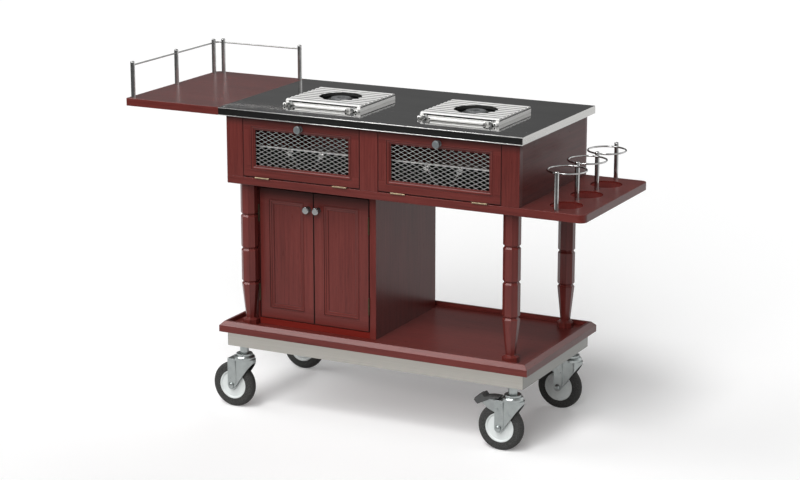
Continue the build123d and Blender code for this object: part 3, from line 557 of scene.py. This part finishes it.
# Where shade is painted dark along the quirk lines of the door mouldings: (how far in, half the width).
door_quirk_shading = ((0.0028, 0.0009), (0.0083, 0.0006), (0.0146, 0.0008))
for hand in ("left", "right"):
    low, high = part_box(f"cupboard_door_{hand}")
    inwards = Vector((door_mould_in, 0, door_mould_in))
    strip = moulding(f"door_moulding_{hand}", low + inwards, high - inwards, door_profile, door_mould_back)
    stained_and_shaded = mitred(f"mahogany_door_moulding_{hand}", f"cupboard_door_{hand}", inwards, door_quirk_shading)
    closed(strip, stained_and_shaded, mould_angle)
    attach(strip, f"door_{hand}")


# Shelf board: one mahogany board that is the floor of the upper cabinet and runs on as the bottle shelf.
# Three round seats are sunk into it, and the worn lacquer in them is a deeper red.

shelf_wood = Mahogany("mahogany_shelf")
seat_red = (0.105, 0.011, 0.008)
seat_edge = 0.0004
edge_in = 0.006
shelf_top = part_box("shelf_board")[1].z
shelf_z = shelf_wood.axis("Z")
in_edges = (off_centre(shelf_wood, "shelf_board", "X") < -edge_in) * (
    off_centre(shelf_wood, "shelf_board", "Y") < -edge_in)
in_seat = in_edges * (shelf_z < shelf_top - seat_edge) * (shelf_z > middle("shelf_board").z)
shelf_wood.lacquered("X", wear_and_shade=in_seat, wear_and_shade_colour=seat_red).on("shelf_board")


# Upper cabinet: end and middle walls, front stiles and a back panel, all mahogany, glued to the shelf board.
# The walls have their grain from front to back.

# The stiles are painted darker under the worktop, as shade.
stile_shade_depth = 0.030
stile_wood = Mahogany("mahogany_stile")
stile_wood.lacquered("Z", wear_and_shade=shade_under_board(stile_wood, "upper_stiles", stile_shade_depth), wear_and_shade_colour=painted_shade_wood)
stile_wood.on("upper_stiles")
Mahogany("mahogany_crosswise", shine=0.14).lacquered("Y").on("upper_walls")
wood_along_x.on("upper_back")


# Valve panels: folded sheet steel behind each flap, carrying the gas unions.
# The sheet is blacked, apart from its rolled top, which is left bare and bright.

panel_steel = Finish("black_panel_steel", {"Specular IOR Level": 0.05})
panel_cloud = panel_steel.noise(90.0)
panel_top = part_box("valve_panels")[1].z
rolled_h = 0.0035
rolled_steel = (0.72, 0.71, 0.69)
bare_top = panel_steel.axis("Z") > panel_top - rolled_h
blacked = panel_steel.tones(panel_cloud, (0.004, 0.004, 0.004), (0.007, 0.007, 0.007))
panel_steel.feed("Base Color", panel_steel.mix(bare_top, blacked, rolled_steel))
panel_steel.feed("Metallic", 0.3 * bare_top)
panel_steel.feed("Roughness", 0.50 + 0.14 * panel_cloud)
panel_steel.relief(panel_steel.noise(1200.0), depth=0.00004, edge=0.0006)
panel_steel.on("valve_panels")


# Gas pipes: bent brass tube between two unions on each panel, plated as bright as chrome.
# Low down, the pipes are a darker plate than the unions.

plated = Finish("bright_plate", {"Metallic": 1.0})
plated_smudge = plated.noise(45.0)
pipe_down = 0.022
on_pipe = plated.axis("Z") < panel_top - pipe_down
union_plate = plated.tones(plated_smudge, (0.74, 0.74, 0.72), (0.82, 0.82, 0.80))
pipe_plate = plated.tones(plated_smudge, (0.42, 0.42, 0.41), (0.52, 0.52, 0.51))
plated.feed("Base Color", plated.mix(on_pipe, union_plate, pipe_plate))
plated.feed("Roughness", 0.10 + 0.14 * plated_smudge)
plated.relief(plated.noise(800.0), depth=0.00001, edge=0.0005)
plated.on("gas_pipes")


# Union nuts: hexagon nuts that draw the pipes onto their unions, two to a panel.
# They are turned from bar, chamfered and plated with the pipes.

nut_r = 0.0104
nut_h = 0.0062
nut_out = 0.0065
nut_chamfer_w = 0.0009
nut_chamfer_h = 0.0007
nut_land = 0.0030
nut_bore_draft = 0.0004
nut_bore_d = 0.0018
union_dx = 0.0505
union_down = 0.011
bpy.ops.object.select_all(action="DESELECT")
bpy.ops.mesh.primitive_cylinder_add(vertices=6, radius=nut_r, depth=nut_h, rotation=(math.pi / 2, 0, 0))
nut = added("union_nut")
drawn_in(nut, "y", nut_chamfer_w, nut_chamfer_h)
pick(nut, lambda centre, normal: normal.y < -0.9)
bpy.ops.mesh.inset(thickness=nut_land, depth=0.0)
bpy.ops.mesh.inset(thickness=nut_bore_draft, depth=-nut_bore_d)
closed(nut, plated, angle=20.0)
panel_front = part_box("valve_panels")[0].y
for hand in ("left", "right"):
    bay = middle(f"flap_{hand}").x
    for side, dx in (("left", -union_dx), ("right", union_dx)):
        seat = Vector((bay + dx, panel_front - nut_out, panel_top - union_down))
        fitted = copied(nut, f"union_nut_{hand}_{side}", Matrix.Translation(seat))
        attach(fitted, "trolley")
bpy.data.objects.remove(nut)


# Flaps: mahogany frames that drop open on two hinges, their rails cut across between the stiles.
# Shade is painted on them under the worktop, and shadow along their edges.

flap_rail = 0.033
# Painted shade on the flaps, down from the top under the worktop and as shadow along their edges.
flap_shade_depth = 0.030
flap_edge_shadow = 0.0018
framed("mahogany_flap", "flap_left", "flap_right", flap_rail, flap_shade_depth, flap_edge_shadow)


# Flap mouldings: mitred mahogany strips round the opening of each flap, in front of its mesh.
# A bead, a quirk and a sloping round are run along them, and they are pinned and lacquered with the flap.

flap_stile = 0.037
flap_opening = Vector((flap_stile, 0, flap_rail))
flap_mould_w = 0.0122
flap_mould_back = 0.0014
flap_profile = ((0.0005, 0.0007), (0.0012, 0.0002), (0.0006, -0.0011), (0.0003, 0.0003), (0.0022, -0.0005),
                (0.0022, -0.0011), (0.0018, -0.0019), (0.0006, -0.0007), (0.0031, -0.0010))
# Where shade is painted dark along the quirk lines of the flap mouldings: (how far in, half the width).
flap_quirk_shading = ((0.0021, 0.0008), (0.0091, 0.0006))
for hand in ("left", "right"):
    low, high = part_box(f"flap_{hand}")
    inwards = flap_opening - Vector((flap_mould_w, 0, flap_mould_w))
    strip = moulding(f"flap_moulding_{hand}", low + inwards, high - inwards, flap_profile, flap_mould_back)
    stained_and_shaded = mitred(f"mahogany_flap_moulding_{hand}", f"flap_{hand}", inwards, flap_quirk_shading)
    closed(strip, stained_and_shaded, mould_angle)
    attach(strip, f"flap_{hand}")


# Mesh panels: expanded steel sheet let into a rebate behind each flap's frame.
# The crowns of the strands on the front face are painted bright as a highlight, and the rest of the steel is
# painted dark as shade.

mesh_steel = Finish("expanded_steel", {})
mesh_cloud = mesh_steel.noise(300.0)
face_depth = 0.0004
mesh_half = Vector((0.012, 0, 0.006))
crown = 0.085
apart = middle("mesh_right").x - middle("mesh_left").x
mesh_mid = middle("mesh_left")
mesh_x = abs(mesh_steel.axis("X") - (mesh_mid.x + apart / 2)) - apart / 2
slant_x = mesh_x * (1 / mesh_half.x)
slant_z = (mesh_steel.axis("Z") - mesh_mid.z) * (1 / mesh_half.z)
off_rising, off_falling = [abs(abs(slant).sum("MODULO", 2.0) - 1.0)
                           for slant in (slant_x + slant_z, slant_x - slant_z)]
on_crown = off_rising.smaller(off_falling) < crown
painted_highlight_mask = (mesh_steel.axis("Y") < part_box("mesh_left")[0].y + face_depth) * on_crown
# Painted shade on the strands, and a painted highlight on the crowns of the front face.
painted_shade_strand = mesh_steel.tones(mesh_cloud, (0.010, 0.010, 0.010), (0.020, 0.020, 0.020))
painted_lit_crown = mesh_steel.tones(mesh_cloud, (0.58, 0.575, 0.56), (0.72, 0.715, 0.70))
mesh_steel.feed("Base Color", mesh_steel.mix(painted_highlight_mask, painted_shade_strand, painted_lit_crown))
mesh_steel.feed("Metallic", 1 - 0.5 * painted_highlight_mask)
mesh_steel.feed("Roughness", 0.30 + 0.2 * mesh_cloud)
mesh_steel.relief(mesh_cloud, depth=0.00003, edge=0.0001)
mesh_steel.on("mesh_left", "mesh_right")


# Hinges: small brass butts in two leaves, one on the carcase and one on the flap or door.
# The brass is a pale tan on the flaps and a dark olive on the doors.

brass = Finish("dulled_brass", {"Metallic": 1.0})
brass_cloud = brass.noise(120.0)
on_door = brass.axis("Z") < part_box("shelf_board")[0].z
flap_brass = brass.tones(brass_cloud, (0.24, 0.18, 0.115), (0.34, 0.27, 0.18))
door_brass = brass.tones(brass_cloud, (0.055, 0.045, 0.026), (0.095, 0.078, 0.048))
brass.feed("Base Color", brass.mix(on_door, flap_brass, door_brass))
brass.feed("Roughness", 0.28 + 0.2 * brass_cloud)
brass.relief(brass.noise(1500.0), depth=0.00003, edge=0.0004)
brass.on("fixed_hinges", *[f"{leaf}_{hand}" for leaf in ("flap_leaf", "cupboard_leaf")
                           for hand in ("left", "right")])


# Knobs: turned metal, satin on the flaps and polished on the cupboard doors, each on a screw from behind.
# The lathe has left fine rings on the faces.

def knob_finish(name, dull, bright, roughness):
    knob = Finish(name, {"Metallic": 1.0})
    handled = knob.noise(90.0)
    knob.feed("Base Color", knob.tones(handled, dull, bright))
    knob.feed("Roughness", roughness + 0.14 * handled)
    knob.relief(knob.noise(1.0, (900.0, 4000.0, 900.0)), depth=0.00002, edge=0.0006)
    return knob


knob_finish("satin_knob_metal", (0.265, 0.295, 0.305), (0.325, 0.355, 0.365), 0.36).on(
    "flap_knob_left", "flap_knob_right")
knob_finish("bright_knob_metal", (0.285, 0.29, 0.29), (0.36, 0.365, 0.365), 0.10).on(
    "cupboard_knob_left", "cupboard_knob_right")


# Top: one mahogany board, bare as the side shelf on the left and let in for the worktop on the right.
# Its face is rubbed down and polished more than the other boards.

polish_deep = 0.0006
top_wood = Mahogany("mahogany_polished_top").lacquered("X")
top_wood.feed("Coat Weight", 0.7 * (top_wood.axis("Z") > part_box("top_board")[1].z - polish_deep))
top_wood.feed("Coat Roughness", 0.22)
top_wood.on("top_board")


# Worktop: a thin plate of steel, blackened and polished, flush with the board.
# It mirrors the burners, with a faint haze of wiping marks.

worktop = Finish("polished_black_worktop", {"Metallic": 1.0})
wiped = worktop.noise(5.0, (1.0, 3.0, 1.0), detail=5.0)
worktop.feed("Base Color", worktop.tones(wiped, (0.33, 0.33, 0.327), (0.39, 0.39, 0.385)))
worktop.feed("Roughness", 0.04 + 0.05 * wiped)
worktop.relief(wiped, depth=0.0000005, edge=0.0004)
worktop.on("worktop_plate")


# Edge band: a steel strip round the worktop, painted dark along the front and back and pale at the right hand
# end, as reflections of a dark and a bright surround. It is pinned to the board's edge.

band = Finish("worktop_edge_band", {"Metallic": 1.0})
band_low, band_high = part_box("edge_band")
band_t = 0.0015
band_right_end = band.axis("X") > band_high.x - band_t
band_brush = band.noise(1.0, (5.0, 5.0, 1800.0), detail=2.0)
# Painted reflections: dark on the front and back strips, pale on the right hand end.
painted_dark_reflection = band.tones(band_brush, (0.050, 0.050, 0.049), (0.080, 0.080, 0.078))
painted_bright_reflection = band.tones(band_brush, (0.44, 0.435, 0.42), (0.52, 0.515, 0.50))
band.feed("Base Color", band.mix(band_right_end, painted_dark_reflection, painted_bright_reflection))
band.feed("Roughness", 0.16 + 0.12 * band_brush)
band.relief(band_brush, depth=0.00001, edge=0.0008)
band.on("edge_band")


# Edge beads: bright drawn rod along the top and the bottom of the band's front, with the painted dark strip
# between.
# The rods are soldered into the band's rolled edges and their ends are rounded over.

bead_r = 0.0011
bead_end_w = 0.3 * bead_r
bead_end_h = 0.35 * bead_r
bead_out = 0.0003
bead_steel = Finish("bright_bead_steel", {"Metallic": 1.0})
bead_drawn = bead_steel.noise(1.0, (4.0, 4.0, 1200.0), detail=2.0)
bead_steel.feed("Base Color", bead_steel.tones(bead_drawn, (0.80, 0.795, 0.78), (0.90, 0.895, 0.88)))
bead_steel.feed("Roughness", 0.22 + 0.12 * bead_drawn)
bead_steel.relief(bead_drawn, depth=0.00001, edge=0.0004)
bpy.ops.object.select_all(action="DESELECT")
bpy.ops.mesh.primitive_cylinder_add(vertices=20, radius=bead_r, depth=band_high.x - band_low.x - bead_r,
                                    rotation=(0, math.pi / 2, 0))
bead = added("edge_bead")
drawn_in(bead, "x", bead_end_w, bead_end_h)
closed(bead, bead_steel, angle=50.0)
for edge, z in (("top", band_high.z - bead_r), ("bottom", band_low.z + bead_r)):
    seat = Vector((middle("edge_band").x, band_low.y - bead_out, z))
    fitted = copied(bead, f"edge_bead_{edge}", Matrix.Translation(seat))
    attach(fitted, "trolley")
bpy.data.objects.remove(bead)


# Gallery and bottle rings: polished steel posts screwed into the boards, with rod let through them as a rail
# or bent into rings and welded on. Wiping has left faint bands round the posts.

def polished_steel(name, dull, bright):
    polished = Finish(name, {"Metallic": 1.0})
    smudge = polished.noise(30.0, (1.0, 1.0, 3.0))
    polished.feed("Base Color", polished.tones(smudge, dull, bright))
    polished.feed("Roughness", 0.03 + 0.07 * smudge)
    polished.relief(polished.noise(1500.0), depth=0.00001, edge=0.0004)
    return polished


polished_steel("polished_post_steel", (0.42, 0.42, 0.415), (0.53, 0.53, 0.525)).on(
    "gallery_posts", "ring_posts", "bottle_rings")
polished_steel("drawn_rail_steel", (0.28, 0.28, 0.275), (0.36, 0.36, 0.355)).on("gallery_rail")


# Burners: pressed steel pans side by side on the worktop, each with a polished bar along the front.
# They are brushed from front to back outside and black inside.

pan_low, pan_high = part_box("burner_grates")
pan_mid = (pan_low.x + pan_high.x) / 2
pan_w = 0.241
pan_wall = 0.0015
pan_black = (0.010, 0.010, 0.010)
burner_dx = (pan_high.x - pan_low.x - pan_w) / 2


def off_burner(finish):
    """How far a point is along X from the middle of the burner that it is on."""
    return abs(abs(finish.axis("X") - pan_mid) - burner_dx)


burner_steel = Finish("pressed_burner_steel", {"Metallic": 0.35})
burner_brush = burner_steel.noise(1.0, (1200.0, 8.0, 1200.0), detail=2.0)
in_pan = (off_burner(burner_steel) < pan_w / 2 - pan_wall) * (burner_steel.axis("Y") > pan_low.y + pan_wall)
bare_pan = burner_steel.tones(burner_brush, (0.78, 0.775, 0.755), (0.88, 0.875, 0.855))
burner_steel.feed("Base Color", burner_steel.mix(in_pan, bare_pan, pan_black))
burner_steel.feed("Roughness", 0.24 + 0.16 * burner_brush + 0.3 * in_pan)
burner_steel.relief(burner_brush, depth=0.00002, edge=0.0006)
burner_steel.on("burner_bodies")


# Grates: round edged slats of drawn steel across each pan, painted near white on top as a highlight and dark
# below as shade.
# The painted shade starts further down on their outer ends, and the front slat has none.

slat_end = 0.0022
slat_front = 0.005
flank_shade_from, flank_shade_full = 0.0009, 0.0017
end_shade_from, end_shade_full = 0.0038, 0.0050
painted_slat_shade = (0.03, 0.03, 0.029)
grate_steel = Finish("drawn_grate_steel", {"Metallic": 0.05})
draw_lines = grate_steel.noise(1.0, (5.0, 1500.0, 1500.0), detail=2.0)
slat_depth = pan_high.z - grate_steel.axis("Z")
inside = off_burner(grate_steel) < pan_w / 2 - slat_end
flank_shade = grate_steel.between(slat_depth, flank_shade_from, flank_shade_full) * inside
end_shade = grate_steel.between(slat_depth, end_shade_from, end_shade_full) * (1 - inside)
# Painted shade on the flanks below the slat tops, and a painted highlight over the tops.
slat_shade_mask = (flank_shade + end_shade) * (grate_steel.axis("Y") > pan_low.y + slat_front)
painted_lit_slat = grate_steel.tones(draw_lines, (0.86, 0.855, 0.84), (0.93, 0.925, 0.91))
grate_steel.feed("Base Color", grate_steel.mix(slat_shade_mask, painted_lit_slat, painted_slat_shade))
grate_steel.feed("Roughness", 0.12 + 0.14 * draw_lines)
grate_steel.relief(draw_lines, depth=0.00002, edge=0.0006)
grate_steel.on("burner_grates")


# Burner heads: cast metal cups that stand in the round opening of each grate.
# The casting is rough, and heat has clouded it.

head_metal = Finish("cast_burner_head", {"Metallic": 0.7})
head_cloud = head_metal.noise(200.0, detail=5.0)
head_metal.feed("Base Color", head_metal.tones(head_cloud, (0.16, 0.165, 0.17), (0.30, 0.305, 0.31)))
head_metal.feed("Roughness", 0.40 + 0.25 * head_cloud)
head_metal.relief(head_cloud, depth=0.0002, edge=0.0006)
head_metal.on("burner_heads")


# Flame rings: pressed steel rings with gas ports cut round them, of the same steel as the grates.
# Each is set on the step of a burner head.

ring_r = 0.0352
ring_h = 0.0036
ring_step = 0.004
ring_lip_w = 0.0012
ring_lip_h = 0.0007
port_count = 32
port_edge = 0.0005
port_in = 0.955
bpy.ops.object.select_all(action="DESELECT")
bpy.ops.mesh.primitive_cylinder_add(vertices=2 * port_count, radius=ring_r, depth=ring_h)
ring = added("flame_ring")
pick(ring, lambda centre, normal: abs(normal.z) < 0.1 and
     int(math.floor(math.atan2(centre.y, centre.x) / math.pi * port_count)) % 2 == 0)
bpy.ops.mesh.inset(thickness=port_edge, use_individual=True)
bpy.ops.transform.resize(value=(port_in, port_in, 1))
pick(ring, lambda centre, normal: normal.z > 0.9)
bpy.ops.mesh.inset(thickness=ring_lip_w, depth=ring_lip_h)
# The rings take the grates' finish, so they are painted dark as shade where they lie more than a millimetre
# or two below the slat tops.
closed(ring, grate_steel, angle=30.0)
head_y = middle("burner_heads").y
head_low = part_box("burner_heads")[0].z
for burner, way_x in (("left", -1), ("right", 1)):
    seat = Vector((pan_mid + way_x * burner_dx, head_y, head_low + ring_step + ring_h / 2))
    fitted = copied(ring, f"flame_ring_{burner}", Matrix.Translation(seat))
    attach(fitted, "trolley")
bpy.data.objects.remove(ring)


# Bar screws: socket screws of blacked steel, four to a burner.
# They hold the front bar and its end stubs to the pan.

screw_r = 0.0024
screw_h = 0.0016
screw_dx = (-0.1155, -0.0835, 0.0835, 0.1155)
screw_up = 0.005
chamfer_w = 0.0004
chamfer_h = 0.0003
socket_r = 0.0012
socket_draft = 0.0001
socket_d = 0.0010
screw_steel = Finish("black_oxide_steel", {"Metallic": 1.0})
screw_cloud = screw_steel.noise(700.0)
screw_steel.feed("Base Color", screw_steel.tones(screw_cloud, (0.012, 0.012, 0.012), (0.022, 0.022, 0.022)))
screw_steel.feed("Roughness", 0.36 + 0.2 * screw_cloud)
screw_steel.relief(screw_cloud, depth=0.00003, edge=0.0002)
bpy.ops.object.select_all(action="DESELECT")
bpy.ops.mesh.primitive_cylinder_add(vertices=24, radius=screw_r, depth=screw_h, rotation=(math.pi / 2, 0, 0))
screw = added("bar_screw")
pick(screw, lambda centre, normal: normal.y < -0.9)
bpy.ops.mesh.inset(thickness=chamfer_w, depth=chamfer_h)
bpy.ops.mesh.inset(thickness=screw_r - chamfer_w - socket_r, depth=0.0)
bpy.ops.mesh.inset(thickness=socket_draft, depth=-socket_d)
closed(screw, screw_steel, angle=30.0)
bar_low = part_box("burner_bodies")[0]
for burner, way_x in (("left", -1), ("right", 1)):
    for number, dx in enumerate(screw_dx, start=1):
        seat = Vector((pan_mid + way_x * burner_dx + dx, bar_low.y, bar_low.z + screw_up))
        fitted = copied(screw, f"bar_screw_{burner}_{number}", Matrix.Translation(seat))
        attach(fitted, "trolley")
bpy.data.objects.remove(screw)


# Burner knobs: small turned metal controls, one in each gap between the bar and its end stubs.
# Each turns on a spindle through the pan's wall.

knob_finish("burner_knob_metal", (0.50, 0.505, 0.50), (0.66, 0.665, 0.66), 0.14).on(
    *[f"{burner}_burner_knob_{side}" for burner in ("left", "right") for side in ("left", "right")])


# Studio: a plain floor under four soft lamps, in a surround with a window high at the front left and a pale
# screen at the back right. To the camera floor and surround are white, and the floor keeps the shadow.
# In reflections the floor is white near the trolley and dim far off, and only the high lamp shows.

def shown(finish):
    """1 on what the camera, a reflection or glass shows, and 0 on what only lights other surfaces."""
    rays = [finish.node("ShaderNodeLightPath", out=ray)
            for ray in ("Is Camera Ray", "Is Glossy Ray", "Is Transmission Ray")]
    return rays[0] + rays[1] + rays[2] > 0.5


floor_half = 30.0
glow = 0.15
dim_floor = (0.16, 0.16, 0.16)
lighting_floor = (0.40, 0.40, 0.40)
shown_floor = (0.91, 0.91, 0.91)
left_x, left_y = -0.86, -0.5
left_near, left_far = 2.2, 3.4
front_x, front_y = 0.45, -0.89
front_near, front_far = 1.3, 2.8
bpy.ops.object.select_all(action="DESELECT")
bpy.ops.mesh.primitive_plane_add(size=2 * floor_half)
floor = added("studio_floor")
floor_white = Finish("white_floor", {"Roughness": 1.0, "Specular IOR Level": 0.0, "Emission Strength": 1.0})
leftward = left_x * floor_white.axis("X") + left_y * floor_white.axis("Y")
frontward = front_x * floor_white.axis("X") + front_y * floor_white.axis("Y")
far = floor_white.between(leftward, left_near, left_far).larger(
    floor_white.between(frontward, front_near, front_far))
far = far * (1 - floor_white.node("ShaderNodeLightPath", out="Is Camera Ray"))
near_shown = shown(floor_white) * (1 - far)
floor_white.feed("Base Color", floor_white.ramp(
    near_shown - 0.5 * far + 0.5, (0.0, dim_floor), (0.5, lighting_floor), (1.0, shown_floor)))
floor_white.feed("Emission Color", floor_white.mix(near_shown, (0, 0, 0), (glow, glow, glow)))
floor.data.materials.append(floor_white.material)


class Surround(Finish):
    """What lies round the studio, on the world's Background shader."""

    def __init__(self, name):
        world = bpy.data.worlds.new(name)
        world.use_nodes = True
        bpy.context.scene.world = world
        self.tree = world.node_tree
        self.shader = self.tree.nodes["Background"]
        self.place = self.node("ShaderNodeTexCoord", out="Generated")

    def side(self, letter, way):
        """1 straight towards one side, falling to 0 at right angles to it."""
        return (self.axis(letter) * way).larger(0.0)

    def patch(self, towards, core, edge):
        """1 within a core angle round one direction, falling to 0 at an edge angle, both in degrees."""
        facing = self.node("ShaderNodeVectorMath", {"operation": "DOT_PRODUCT"}, (self.place, towards),
                           out="Value")
        return self.between(facing, math.cos(math.radians(edge)), math.cos(math.radians(core)))


sky = Surround("studio_surround")
sky_right = 0.6
sky_left = 0.18
sky_front = 0.20
sky_above = 0.34
window_towards = (-0.50, -0.45, 0.74)
window_level = 8.0
window_core, window_edge = 9.0, 16.0
screen_towards = (0.60, 0.79, 0.12)
screen_level = 0.9
screen_core, screen_edge = 18.0, 42.0
plain_white = (1.0, 1.0, 1.0)
window = sky.patch(window_towards, window_core, window_edge)
screen = sky.patch(screen_towards, screen_core, screen_edge)
around = (sky_right * sky.side("X", 1) + sky_left * sky.side("X", -1) + sky_front * sky.side("Y", -1)
          + sky_above * sky.side("Z", 1) + window_level * window + screen_level * screen)
sky.feed("Color", sky.mix(sky.node("ShaderNodeLightPath", out="Is Camera Ray"), around, plain_white))
sky.feed("Strength", shown(sky))

lamps = (("low_lamp", -9.0, 29.0, 40.0, 2.30), ("high_lamp", 6.0, 58.0, 20.0, 1.23),
         ("left_lamp", 72.0, 34.0, 50.0, 1.00), ("back_lamp", 180.0, 40.0, 30.0, 0.45))
for lamp_name, round_left, up, spread, strength in lamps:
    lamp = bpy.data.lights.new(lamp_name, "SUN")
    lamp.angle = math.radians(spread)
    lamp.energy = strength
    stand = bpy.data.objects.new(lamp_name, lamp)
    stand.rotation_euler = (math.radians(90.0 - up), 0.0, math.radians(-round_left))
    stand.visible_glossy = lamp_name == "high_lamp"
    bpy.context.scene.collection.objects.link(stand)

camera_down = 14.234
camera_round = 26.978
camera = bpy.data.cameras.new("camera")
camera.lens = 103.03
camera.sensor_width = 36.0
camera.clip_end = 200.0
viewpoint = bpy.data.objects.new("camera", camera)
viewpoint.location = (2.9685, -5.73735, 2.1427)
viewpoint.rotation_euler = (math.radians(90 - camera_down), 0.0, math.radians(camera_round))
bpy.context.scene.collection.objects.link(viewpoint)
bpy.context.scene.camera = viewpoint
bpy.context.scene.view_settings.view_transform = "Standard"
